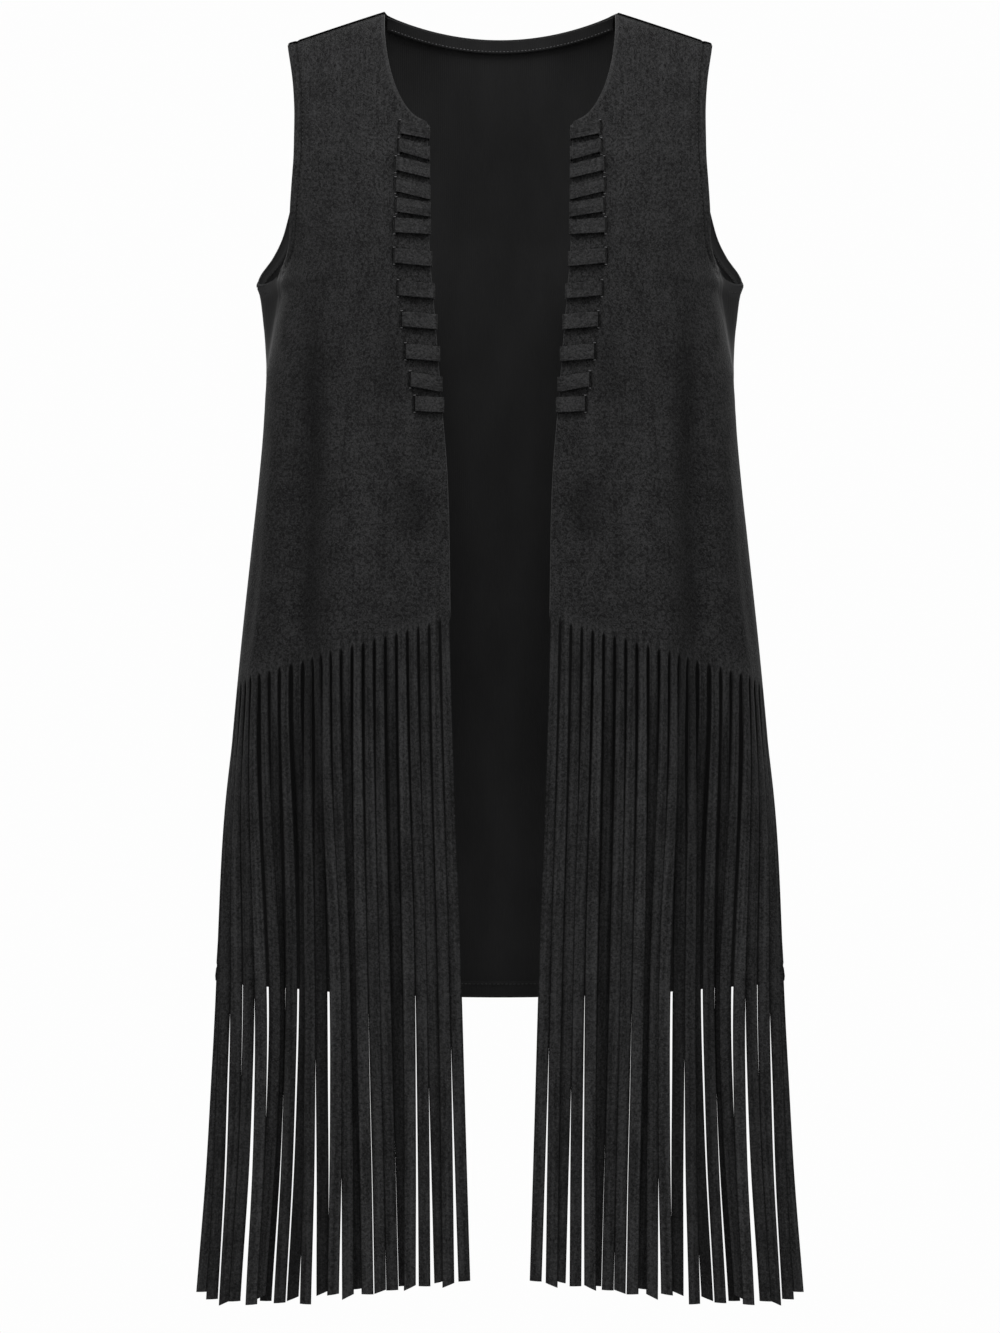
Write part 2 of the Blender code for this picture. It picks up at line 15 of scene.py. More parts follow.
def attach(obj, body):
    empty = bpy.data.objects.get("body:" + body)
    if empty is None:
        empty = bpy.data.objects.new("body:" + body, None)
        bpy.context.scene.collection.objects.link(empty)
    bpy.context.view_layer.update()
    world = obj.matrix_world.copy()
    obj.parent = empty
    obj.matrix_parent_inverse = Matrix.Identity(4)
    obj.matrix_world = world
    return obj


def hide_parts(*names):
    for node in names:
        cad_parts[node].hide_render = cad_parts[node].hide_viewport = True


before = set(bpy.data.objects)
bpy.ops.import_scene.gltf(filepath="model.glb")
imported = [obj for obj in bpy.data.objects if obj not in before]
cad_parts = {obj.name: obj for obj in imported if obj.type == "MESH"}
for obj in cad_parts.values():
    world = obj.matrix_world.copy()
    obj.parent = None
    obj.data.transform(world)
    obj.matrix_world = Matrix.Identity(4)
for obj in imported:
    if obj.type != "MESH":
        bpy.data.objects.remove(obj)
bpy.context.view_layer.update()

# Cloth
SUEDE_WALL = 0.0016
KNIT_WALL = 0.0011
SHOULDER_GAP = 0.0002

# Neck and shoulders
NECK_HALF_WIDTH = 0.0947
NECK_POINT_HEIGHT = 0.013
SHOULDER_HALF_WIDTH = 0.1734
SHOULDER_TIP_HEIGHT = -0.013
SHOULDER_SOFTENING = 0.05
SHOULDER_ROW_SHARE = 0.004
SHOULDER_SEAM_RISE = 0.0020
SHOULDER_SEAM_ROWS = 4
FRONT_NECK_CORNER_X = 0.0583
FRONT_NECK_CORNER_RADIUS = 0.004
FRONT_NECK_DROP = 0.0956
FRONT_NECK_HEIGHT = NECK_POINT_HEIGHT - FRONT_NECK_DROP
BACK_NECK_DROP = 0.0171
BACK_NECK_HEIGHT = NECK_POINT_HEIGHT - BACK_NECK_DROP

# The body that fills the vest out: a rounded section that domes over at the shoulders and flares downward
BODY_EXPONENT = 2.9
FRONT_DEPTH = 0.074
BACK_DEPTH = 0.065
DOME_HEIGHT = 0.20
DOME_EXPONENT = 1.6
DEPTH_FLARE = 0.5
NARROWEST_HEIGHT = -0.285
GIRTH_HEIGHT = -0.36

# Height, half width of the body
HALF_WIDTHS = (
    (-1.050, 0.2495),
    (-0.943, 0.2415),
    (-0.845, 0.2366),
    (-0.714, 0.2288),
    (-0.615, 0.2218),
    (-0.517, 0.2130),
    (-0.418, 0.2025),
    (-0.369, 0.1972),
    (-0.320, 0.1931),
    (-0.295, 0.1933),
    (-0.283, 0.1949),
    (-0.270, 0.1962),
    (-0.246, 0.1986),
    (-0.217, 0.2021),
    (-0.2085, 0.2048),
    (-0.203, 0.2034),
    (-0.190, 0.2008),
    (-0.150, 0.1995),
    (-0.100, 0.1970),
    (0.060, 0.1955),
)
# Height, how far the fronts lie inside the back beside the armhole
SIDE_STEPS = (
    (-0.318, 0.0),
    (-0.300, 0.0011),
    (-0.285, 0.0035),
    (-0.270, 0.0075),
    (-0.246, 0.0145),
    (-0.2115, 0.0245),
    (-0.190, 0.0235),
    (-0.150, 0.0150),
    (-0.100, 0.0100),
    (0.060, 0.0095),
)
SIDE_STEP_END_TURN = 104.0

# Soft folds: turn at the top, turn at the foot, half width in turn, rise of the cloth, top and foot heights
FOLDS = (
    (49.0, 40.0, 6.0, -0.0085, -0.230, -0.560),
    (31.0, 27.0, 6.5, 0.0035, -0.300, -0.600),
    (66.0, 62.0, 6.0, 0.0025, -0.260, -0.600),
    (112.0, 108.0, 7.0, -0.0050, -0.330, -0.750),
    (134.0, 136.0, 7.0, 0.0045, -0.400, -0.760),
    (152.0, 157.0, 7.0, -0.0040, -0.300, -0.700),
    (199.0, 205.0, 7.0, -0.0050, -0.340, -0.740),
    (226.0, 222.0, 7.0, 0.0040, -0.420, -0.760),
    (246.0, 251.0, 7.0, -0.0045, -0.300, -0.720),
)
FOLD_FADE = 0.55

# Creases finer than the folds: turn and height at the start, turn and height at the end, half width, rise
CREASES = (
    (71.0, -0.200, 44.0, -0.262, 0.0070, -0.0010),
    (76.0, -0.225, 55.0, -0.300, 0.0080, 0.0009),
    (60.0, -0.150, 47.0, -0.205, 0.0060, -0.0006),
    (22.0, -0.235, 19.0, -0.330, 0.0060, -0.0010),
    (13.0, -0.360, 17.0, -0.440, 0.0090, -0.0009),
    (29.0, -0.060, 26.0, -0.165, 0.0080, 0.0008),
    (24.0, -0.330, 27.0, -0.470, 0.0100, 0.0012),
    (40.0, -0.030, 33.0, -0.120, 0.0090, -0.0007),
    (68.0, -0.400, 70.0, -0.520, 0.0080, -0.0012),
    (100.0, -0.235, 124.0, -0.330, 0.0090, -0.0012),
    (98.0, -0.265, 116.0, -0.400, 0.0100, 0.0010),
    (128.0, -0.160, 150.0, -0.250, 0.0090, -0.0009),
    (170.0, -0.060, 158.0, -0.190, 0.0110, -0.0008),
    (190.0, -0.045, 204.0, -0.210, 0.0120, -0.0009),
    (180.0, -0.300, 176.0, -0.560, 0.0130, 0.0012),
    (214.0, -0.240, 236.0, -0.165, 0.0090, -0.0008),
    (258.0, -0.240, 232.0, -0.350, 0.0100, -0.0012),
    (262.0, -0.290, 245.0, -0.450, 0.0090, 0.0011),
    (166.0, -0.520, 172.0, -0.770, 0.0120, -0.0014),
    (120.0, -0.560, 124.0, -0.775, 0.0100, 0.0014),
    (238.0, -0.560, 234.0, -0.775, 0.0110, -0.0013),
)
CREASE_FADE = 0.35

# Marks of the brushed nap, with painted shade and light of the folds: distance from the centre plane and
# height at both ends, half width, change of tone
NAP_AND_PAINTED_LIGHT_MARKS = (
    (0.1500, -0.190, 0.1525, -0.560, 0.0120, -0.52),
    (0.0877, -0.235, 0.0877, -0.325, 0.0090, -0.25),
    (0.0690, -0.365, 0.0665, -0.425, 0.0130, -0.45),
    (0.1137, -0.300, 0.1137, -0.470, 0.0120, 0.14),
    (0.1024, -0.075, 0.1024, -0.145, 0.0090, 0.12),
    (0.1820, -0.290, 0.1900, -0.560, 0.0150, -0.18),
    (0.1760, -0.175, 0.1850, -0.270, 0.0100, -0.30),
)
NAP_AND_PAINTED_LIGHT_FADE = 0.25

# Tones of edges, stitched lines and hems, and of a strip for each metre that it stands out. Most are painted
# light and shade: highlights on rims, shade in the stitched groove, beside slits, on strip edges and set-back
# strips, and light on the underarm hem
NO_EDGE = 0.0
EVEN_TONE = 1.0
LIFT_SHADE = 85.0
STRIP_EDGE_SHADOW = 0.08
STITCH_GROOVE_SHADE = 0.45
SLIT_SHADE_TONE = 0.75
SLIT_SHADE = 0.0014
SLIT_SHADE_FADE = 0.15
NECK_RIM = 0.0024
NECK_RIM_TONE = 0.35
SIDE_RIM = 0.003
SIDE_RIM_HIGHLIGHT = 0.3
SIDE_RIM_END = -0.310
SIDE_RIM_FADE = 0.060
UNDERARM_HEM_LIGHT = 0.9
UNDERARM_HEM_TOP = -0.110
UNDERARM_HEM_FADE = 0.060
UNDERARM_HEM_SOFT = 0.006

# Height, distance of the front edge from the centre plane
FRONT_EDGE = (
    (-1.060, 0.0225),
    (-0.901, 0.0284),
    (-0.789, 0.0312),
    (-0.615, 0.0347),
    (-0.534, 0.0372),
    (-0.482, 0.0394),
    (-0.401, 0.0408),
    (-0.360, 0.0426),
    (-0.307, 0.0470),
    (-0.275, 0.0495),
    (-0.243, 0.0521),
    (-0.214, 0.0545),
    (-0.188, 0.0565),
    (-0.147, 0.0575),
    (FRONT_NECK_HEIGHT, FRONT_NECK_CORNER_X),
)

# Side seams, armholes and hems
SEAM_TURN = 86.0
SEAM_HALF_TURN = 0.04
FRONT_SEAM_TURN = SEAM_TURN - SEAM_HALF_TURN
BACK_SEAM_TURN = SEAM_TURN + SEAM_HALF_TURN
UNDERARM_HEIGHT = -0.2067
UNDERARM_TURN = 98.0
SEAM_TOP_HEIGHT = -0.1935
SEAM_RISE_START = -0.275
SEAM_RISE_MARGIN = 0.003
BACK_SEAM_TOP_HEIGHT = UNDERARM_HEIGHT - SEAM_RISE_MARGIN
# Height, turn of the armhole's edge
FRONT_ARMHOLE = (
    (SEAM_TOP_HEIGHT, SEAM_TURN),
    (-0.1915, 80.5),
    (-0.1880, 75.8),
    (-0.1815, 71.2),
    (-0.1700, 66.9),
    (-0.1514, 62.9),
    (-0.1150, 58.8),
    (-0.0905, 58.1),
    (-0.0662, 58.3),
    (-0.0418, 60.2),
    (SHOULDER_TIP_HEIGHT, 64.6),
)
BACK_ARMHOLE = (
    (UNDERARM_HEIGHT, UNDERARM_TURN),
    (-0.2056, 100.8),
    (-0.2022, 103.0),
    (-0.1965, 105.6),
    (-0.1903, 109.7),
    (-0.1846, 113.4),
    (-0.1723, 118.6),
    (-0.1600, 121.8),
    (-0.1353, 125.5),
    (-0.1150, 127.6),
    (-0.0660, 128.6),
    (-0.0300, 126.2),
    (SHOULDER_TIP_HEIGHT, 123.1),
)
ARMHOLE_MID_HEIGHT = -0.105
ARMHOLE_HEM = 0.0074
CUT_FRONT_HEIGHT = -0.4805
CUT_SIDE_HEIGHT = -0.5385
BACK_HEM_CENTRE_HEIGHT = -0.7999
BACK_HEM_SIDE_HEIGHT = -0.7775
BACK_HEM_DEPTH = 0.0115
HEM_PUFF = 0.0005
HEM_EDGE_SHARE = 0.3
STITCH_GROOVE = 0.0009
STITCH_GROOVE_WIDTH = 0.0012

# Steps over which the cloth's slope is taken, and how rows and columns of points close up toward an edge
HALF_TURN_STEP = 0.5
HEIGHT_STEP = 0.001
ROW_BUNCHING = 1.6
TOP_ROW_BUNCHING = 1.7
LINE_BUNCHING = 1.5
EDGE_COLUMN_SHARE = 0.25
# Angle between two faces from which their edge is shaded crisp
SHARP_ANGLE = math.radians(50.0)

# Back neck facing
FACING_DEPTH = 0.009
FACING_WALL = 0.0010
FACING_GAP = 0.0008
FACING_END = 0.0015
FACING_TILT = 0.0012

# Fringe
BACKING_DEPTH = 0.005
BACKING_ROWS = 4
STRIP_WALL = 0.0013
STRIP_WAIST_FRONT = 0.87
STRIP_WAIST_SIDE = 0.74
STRIP_WAIST_END = 0.50
STRIP_WIDTH = 0.0103
STRIP_TIP_WIDTH = 0.0096
STRIP_FACING = 0.75
STRIP_FACING_END = 0.35
STRIP_CROWN = 0.0009
CUT_TAPER = 0.005
STRIP_FREE_LENGTH = 0.0125
STRIP_LIFT_SHARE = 0.2
STRIP_COLUMNS = (-1.0, -0.76, -0.4, 0.0, 0.4, 0.76, 1.0)
STRIP_RINGS = 96
STRIP_RING_BUNCHING = 1.25
STRIP_MERGE = 2e-6
# From the front edge to the side: distance from the centre plane at half length and at the tip, lift, twist
# at half length and at the tip, tip height, slant of the tip
STRIPS = (
    (0.0364, 0.0283, 0.000, 4.0, 8.0, -1.0121, 0.0010),
    (0.0456, 0.0412, 0.001, -9.0, -6.0, -1.0153, -0.0008),
    (0.0547, 0.0476, -0.001, 16.0, 34.0, -1.0129, 0.0006),
    (0.0634, 0.0603, 0.000, -8.0, -9.0, -1.0162, 0.0012),
    (0.0729, 0.0717, 0.002, 6.0, 5.0, -1.0173, -0.0010),
    (0.0835, 0.0765, -0.004, -12.0, -8.0, -1.0166, 0.0007),
    (0.0924, 0.0858, 0.000, 5.0, 6.0, -1.0195, 0.0011),
    (0.1011, 0.0957, 0.001, -10.0, -12.0, -1.0207, -0.0006),
    (0.1104, 0.1054, 0.003, 8.0, 5.0, -1.0224, 0.0014),
    (0.1190, 0.1135, -0.004, -6.0, 8.0, -1.0193, 0.0008),
    (0.1240, 0.1213, 0.000, 9.0, -8.0, -1.0250, -0.0012),
    (0.1311, 0.1326, 0.002, -7.0, 10.0, -1.0228, 0.0006),
    (0.1443, 0.1422, -0.004, 14.0, -6.0, -1.0230, -0.0009),
    (0.1527, 0.1554, 0.000, -9.0, -12.0, -1.0314, 0.0013),
    (0.1600, 0.1696, -0.004, 7.0, 8.0, -1.0292, -0.0007),
    (0.1694, 0.1782, 0.001, -6.0, 7.0, -1.0327, 0.0009),
    (0.1790, 0.1902, -0.004, 10.0, -9.0, -1.0324, 0.0012),
    (0.1827, 0.1940, 0.000, -8.0, 6.0, -1.0288, -0.0010),
    (0.1920, 0.2003, 0.003, 6.0, -6.0, -1.0340, 0.0008),
    (0.2023, 0.2133, 0.000, -11.0, 10.0, -1.0324, 0.0011),
    (0.2107, 0.2208, 0.001, 8.0, -8.0, -1.0343, -0.0009),
    (0.2222, 0.2310, 0.000, -5.0, 10.0, -1.0325, 0.0010),
    (0.2240, 0.2418, 0.001, 18.0, -14.0, -1.0291, 0.0008),
)

# Lacing
STRAP_WIDTH = 0.0122
STRAP_WALL = 0.0009
STRAP_GAP = 0.0002
STRAP_TAIL = 0.012
STRAP_TAIL_RISE = 0.004
STRAP_TILT = 0.0015
STRAP_CORNER = 0.0004
STRAP_TURN_STEPS = 8
STRAP_RUN_STEPS = 14
STRAP_MERGE = 1e-7
SLIT_LENGTH = 0.0128
SLIT_WIDTH = 0.0031
SLIT_CUTTER_DEPTH = SUEDE_WALL * 5
# Slit height, slit distance from the front edge, fall of the strap from slit to edge
WRAPS = (
    (-0.0890, 0.0200, 0.0042),
    (-0.1040, 0.0209, 0.0064),
    (-0.1190, 0.0235, 0.0062),
    (-0.1362, 0.0238, 0.0062),
    (-0.1526, 0.0233, 0.0038),
    (-0.1688, 0.0251, 0.0016),
    (-0.1932, 0.0262, 0.0028),
    (-0.2192, 0.0252, 0.0026),
    (-0.2441, 0.0244, 0.0022),
    (-0.2698, 0.0235, 0.0022),
    (-0.2923, 0.0214, 0.0040),
    (-0.3118, 0.0194, 0.0010),
)

# Sewing
STITCH_PITCH = 0.0034
STITCH_LENGTH = 0.0025
STITCH_WIDTH = 0.0009
STITCH_FLATNESS = 0.9
OUTER_STITCH_SINK = STITCH_GROOVE * 0.75
INNER_STITCH_SINK = STITCH_GROOVE * 0.9
STITCH_TOP_HEIGHT = SHOULDER_TIP_HEIGHT - 0.004
STITCH_SEAM_GAP_TURN = 1.0
FACING_STITCH_PITCH = 0.0030
FACING_STITCH_LENGTH = 0.0018
FACING_STITCH_WIDTH = 0.0007
FACING_STITCH_RISE = 0.0016
TACK_LENGTH = 0.0018
TACK_PITCH = TACK_LENGTH * 0.45
TACK_STITCH_LENGTH = TACK_LENGTH * 0.8
TACK_WIDTH = 0.0010
TACK_INSET = 0.0008
TACK_RISE = 0.0002

# Looks of the cloth
BLUE_SHARE = 1.02
# Paler cut edges of the suede: partly wear, partly painted highlight where light catches the rims
EDGE_WEAR_AND_HIGHLIGHT = 0.7
WORN_AND_LIT_EDGE_TONE = 3.5
WORN_AND_LIT_EDGE_BLUE_SHARE = 1.0143
# Near-black painted shade on the knit's marked rows: the shoulder seam's sliver and the facing's lower edge
SEAM_SHADE_TONE = 0.1
SUEDE_MIDDLE = 0.53
# Place in the curls' noise, tone: a dark and a pale line round each curl of the suede
CURL_TONES = ((0.33, 0.45), (0.39, 0.0), (0.44, 0.45), (0.47, 0.45), (0.51, 1.0), (0.55, 0.45))

# View and light
PHOTO_HEIGHT = 1333
METRES_PER_PIXEL = 0.00082
CAMERA_DISTANCE = 3.0
CAMERA_HEIGHT = -0.522
SENSOR_WIDTH = 36.0
BACKDROP_TONE = 0.985
AMBIENT_TONE = 0.20
# Name, place, size, power
LIGHTS = (
    ("left_softbox", (-1.8, -1.5, 0.6), 1.0, 14.0),
    ("right_softbox", (1.8, -1.5, 0.6), 1.0, 14.0),
    ("top_softbox", (0.0, -1.15, 1.2), 0.6, 24.0),
    ("back_left_softbox", (0.9, 2.0, 1.0), 1.0, 26.0),
    ("back_right_softbox", (-0.9, 2.0, 1.0), 1.0, 26.0),
)
FLOOR_HEIGHT = -1.32
FLOOR_RADIUS = 1.2
FLOOR_TONE = 0.80


def mix(first, last, share):
    return first + (last - first) * share


def ease(share):
    """0 to 1 with a soft start and end."""
    share = np.clip(share, 0.0, 1.0)
    return share * share * (3.0 - 2.0 * share)


def unit(vectors):
    return vectors / np.linalg.norm(vectors, axis=-1, keepdims=True)


def stacked(*values):
    """Values side by side on a last axis, each spread to the shape of them all."""
    return np.stack(np.broadcast_arrays(*values), axis=-1)


def lengths_along(points):
    """Length along a line from its first point to each of its points."""
    steps = np.linalg.norm(np.diff(points, axis=0), axis=-1)
    return np.concatenate(((0.0,), np.cumsum(steps)))


def table_at(table, at):
    """The second column of a table at values of its first, on a smooth curve through the rows."""
    keys, values = np.array(table, float).T
    slopes = np.gradient(values, keys)
    slopes[1:-1] = (values[2:] - values[:-2]) / (keys[2:] - keys[:-2])
    at = np.clip(at, keys[0], keys[-1])
    row = np.clip(np.searchsorted(keys, at) - 1, 0, len(keys) - 2)
    step = keys[row + 1] - keys[row]
    s = (at - keys[row]) / step
    start = values[row] * (1 + 2 * s) * (1 - s) ** 2 + slopes[row] * step * s * (1 - s) ** 2
    end = values[row + 1] * s * s * (3 - 2 * s) + slopes[row + 1] * step * s * s * (s - 1)
    return start + end


# The form of the cloth's outer face

def shoulder_height(across):
    """Height of the shoulder line at a distance from the centre plane."""
    def run(x):
        return np.hypot(x, SHOULDER_SOFTENING)

    slope = (NECK_POINT_HEIGHT - SHOULDER_TIP_HEIGHT) / (run(SHOULDER_HALF_WIDTH) - run(NECK_HALF_WIDTH))
    return NECK_POINT_HEIGHT - slope * (run(across) - run(NECK_HALF_WIDTH))


def from_front(turn):
    """The turn from the centre front, on either side."""
    return np.minimum(turn, 360.0 - turn)


def half_width(turn, height):
    past_seam = from_front(turn) - SEAM_TURN
    step = table_at(SIDE_STEPS, height) * (1.0 - ease(past_seam / (SIDE_STEP_END_TURN - SEAM_TURN)))
    return table_at(HALF_WIDTHS, height) - step


def depth(turn, height, across):
    """Depth of the body below the shoulder line, rounding over at the top and flaring with the width."""
    drop = np.clip((shoulder_height(across) - height) / DOME_HEIGHT, 0.0, 1.0)
    dome = (1.0 - (1.0 - drop) ** DOME_EXPONENT) ** (1.0 / DOME_EXPONENT)
    width = table_at(HALF_WIDTHS, np.minimum(height, NARROWEST_HEIGHT))
    flare = 1.0 + DEPTH_FLARE * (width / table_at(HALF_WIDTHS, NARROWEST_HEIGHT) - 1.0)
    return np.where(from_front(turn) < 90.0, FRONT_DEPTH, BACK_DEPTH) * dome * flare


def body(turn, height):
    """Points on the plain body, with the fronts and the back parted at the shoulder line."""
    turn, height = np.broadcast_arrays(np.asarray(turn, float), np.asarray(height, float))
    sine = np.sin(np.radians(turn))
    cosine = np.cos(np.radians(turn))
    across = half_width(turn, height) * np.copysign(np.abs(sine) ** (2.0 / BODY_EXPONENT), sine)
    back = -np.copysign(np.abs(cosine) ** (2.0 / BODY_EXPONENT), cosine)
    back = depth(turn, height, across) * back + np.copysign(SHOULDER_GAP / 2, back)
    return stacked(across, back, height)


# Each whole turn, and the length of cloth from the centre front to it at one level
GIRTH_TURNS = np.arange(361.0)
GIRTH_LENGTHS = lengths_along(body(GIRTH_TURNS, GIRTH_HEIGHT))


def girth(turn):
    return np.interp(turn, GIRTH_TURNS, GIRTH_LENGTHS)


def turn_at(length):
    return np.interp(length, GIRTH_LENGTHS, GIRTH_TURNS)


def girth_share(turn, first, last):
    """Share of the cloth's length between two turns at which a third lies."""
    return (girth(turn) - girth(first)) / (girth(last) - girth(first))


def fold_rise(turn, height):
    total = 0.0
    for top_turn, foot_turn, half_turn, rise, top, foot in FOLDS:
        share = (top - height) / (top - foot)
        centre = mix(top_turn, foot_turn, np.clip(share, 0.0, 1.0))
        total = total + rise * ease(share / FOLD_FADE) * np.exp(-(((turn - centre) / half_turn) ** 2))
    return total


def strokes(rows, across, height, fade):
    """Sum of soft strokes on the cloth, each of its own weight and fading toward both ends."""
    total = 0.0
    for start, start_height, end, end_height, half, weight in rows:
        run = end - start
        fall = end_height - start_height
        reach = math.hypot(run, fall)
        along = ((across - start) * run + (height - start_height) * fall) / reach ** 2
        off = ((across - start) * fall - (height - start_height) * run) / reach
        faded = ease(along / fade) * ease((1.0 - along) / fade)
        total = total + weight * faded * np.exp(-((off / half) ** 2))
    return total


def crease_rise(turn, height):
    rows = [(girth(row[0]), row[1], girth(row[2]), *row[3:]) for row in CREASES]
    return strokes(rows, girth(turn), height, CREASE_FADE)


def cloth(turn, height, out=0.0):
    """Points on the cloth's outer face, or that far out from it."""
    ahead = body(turn + HALF_TURN_STEP, height) - body(turn - HALF_TURN_STEP, height)
    level = unit(stacked(ahead[..., 1], -ahead[..., 0], 0.0))
    rise = fold_rise(turn, height) + crease_rise(turn, height)
    points = body(turn, height) + level * np.asarray(rise)[..., None]
    if np.any(out):
        points = points + cloth_normal(turn, height) * np.asarray(out)[..., None]
    return points


def tangents(turn, height, rise):
    """Short steps along the cloth, one round the body and one up it by twice the rise."""
    round_body = cloth(turn + HALF_TURN_STEP, height) - cloth(turn - HALF_TURN_STEP, height)
    upward = cloth(turn, height + rise) - cloth(turn, height - rise)
    return round_body, upward


def cloth_normal(turn, height):
    return unit(np.cross(*tangents(turn, height, HEIGHT_STEP)))


def shifted(turn, height, move):
    """Turns and heights of places moved along the cloth by short vectors."""
    round_body, upward = tangents(turn, height, HEIGHT_STEP / 2)
    steps = stacked(round_body / (HALF_TURN_STEP * 2), upward / HEIGHT_STEP)
    solved = np.einsum("...ij,...j->...i", np.linalg.pinv(steps), move)
    return turn + solved[..., 0], height + solved[..., 1]


def tone_and_painted_light(turn, height):
    """Tone of the brushed nap on the fronts, with painted shade and light of the folds, about 1."""
    return 1.0 + strokes(NAP_AND_PAINTED_LIGHT_MARKS, body(turn, height)[..., 0], height, NAP_AND_PAINTED_LIGHT_FADE)


def front_turn(across, height):
    """The turn at which the front lies that far from the centre plane."""
    share = np.clip(across / half_width(0.0, height), 0.0, 1.0)
    return np.degrees(np.arcsin(share ** (BODY_EXPONENT / 2.0)))


def cut_start_turn():
    """The turn of the front edge where the cuts between the strips begin."""
    return front_turn(table_at(FRONT_EDGE, CUT_FRONT_HEIGHT), CUT_FRONT_HEIGHT)


def cut_height(turn):
    """Height of the line on which the cuts between the strips begin."""
    return mix(CUT_FRONT_HEIGHT, CUT_SIDE_HEIGHT, girth_share(turn, cut_start_turn(), FRONT_SEAM_TURN))


# Rows of the panels, from their lower edge to the shoulder seam

def shares_after_start(count):
    """Even shares up to 1, without 0."""
    return np.arange(1, count + 1) / count


def upper_shares(steps):
    """Shares of the drop left below the shoulder line, closing up toward it."""
    bunched = 1.0 - (1.0 - shares_after_start(steps)[:-1]) ** TOP_ROW_BUNCHING
    return np.concatenate((np.cos(np.radians(90.0 * bunched)), (SHOULDER_ROW_SHARE, 0.0)))


def edged_shares(count, fine_count, fine_share):
    """Shares along a panel that start with closer steps."""
    fine = np.linspace(0.0, fine_share, fine_count + 1)
    return np.concatenate((fine, np.linspace(fine_share, 1.0, count + 1)[1:]))


def front_rows(seam_steps=104, armhole_steps=46, top_steps=44):
    """For each row: distance from the centre plane and height at the front edge, turn and height at the side,
    and the share of the shoulder seam's bend."""
    steps = np.linspace(0.0, 1.0, seam_steps + 1)
    edge = mix(CUT_FRONT_HEIGHT + BACKING_DEPTH, SEAM_TOP_HEIGHT, steps)
    side = mix(CUT_SIDE_HEIGHT + BACKING_DEPTH, SEAM_TOP_HEIGHT, steps)
    seam = stacked(table_at(FRONT_EDGE, edge), edge, FRONT_SEAM_TURN, side, 0.0)

    steps = shares_after_start(armhole_steps)
    edge = mix(SEAM_TOP_HEIGHT, FRONT_NECK_HEIGHT, 1.0 - (1.0 - steps) ** ROW_BUNCHING)
    side = mix(SEAM_TOP_HEIGHT, ARMHOLE_MID_HEIGHT, steps ** ROW_BUNCHING)
    radius = FRONT_NECK_CORNER_RADIUS
    inside = np.clip(radius - (FRONT_NECK_HEIGHT - edge), 0.0, radius)
    rounding = radius - np.sqrt(radius ** 2 - inside ** 2)
    turn = np.minimum(table_at(FRONT_ARMHOLE, side), FRONT_SEAM_TURN)
    armhole = stacked(table_at(FRONT_EDGE, edge) + rounding, edge, turn, side, 0.0)

    left = upper_shares(top_steps)
    edge = NECK_POINT_HEIGHT - FRONT_NECK_DROP * left
    across = mix(FRONT_NECK_CORNER_X, NECK_HALF_WIDTH, np.sqrt(1.0 - left * left))
    across = np.maximum(across, FRONT_NECK_CORNER_X + radius)
    side = mix(SHOULDER_TIP_HEIGHT, ARMHOLE_MID_HEIGHT, left)
    top = stacked(across, edge, table_at(FRONT_ARMHOLE, side), side, 1.0 - left)
    return np.concatenate((seam, armhole, top))


def front_places(columns=72):
    """Turns and heights of the front panel's points."""
    across, edge, side_turn, side, bend = front_rows().T[..., None]
    edge_turn = front_turn(across, edge)
    share = 1.0 - edged_shares(columns, fine_count=24, fine_share=0.09)[::-1]
    share = np.insert(share, 1, share[1] * EDGE_COLUMN_SHARE)[None, :]
    turn = turn_at(mix(girth(edge_turn), girth(side_turn), share))
    height = mix(edge, side, share)
    seam_height = shoulder_height(body(turn, height)[..., 0])
    height = height + bend * (seam_height - mix(NECK_POINT_HEIGHT, SHOULDER_TIP_HEIGHT, share))
    return turn, height


def neck_turn(across):
    """The turn at which the back's top edge lies that far from the centre plane."""
    share = across / half_width(180.0, NECK_POINT_HEIGHT)
    return 180.0 - np.degrees(np.arcsin(share ** (BODY_EXPONENT / 2.0)))


def top_height(turn):
    """Height of the back's top edge: the neckline's dip, then the shoulder seam."""
    across = np.abs(body(turn, NECK_POINT_HEIGHT)[..., 0])
    dip = NECK_POINT_HEIGHT - BACK_NECK_DROP * (1.0 - (across / NECK_HALF_WIDTH) ** 2)
    return np.where(across >= NECK_HALF_WIDTH, shoulder_height(across), dip)


def seam_rise(turn, height):
    """How far the back climbs toward the top of the side seam from the armhole's lowest point."""
    beside_seam = 1.0 - ease(girth_share(turn, SEAM_TURN, UNDERARM_TURN))
    climbing = ease((height - SEAM_RISE_START) / (UNDERARM_HEIGHT - SEAM_RISE_START))
    return (SEAM_TOP_HEIGHT - UNDERARM_HEIGHT + SEAM_RISE_MARGIN) * beside_seam * climbing


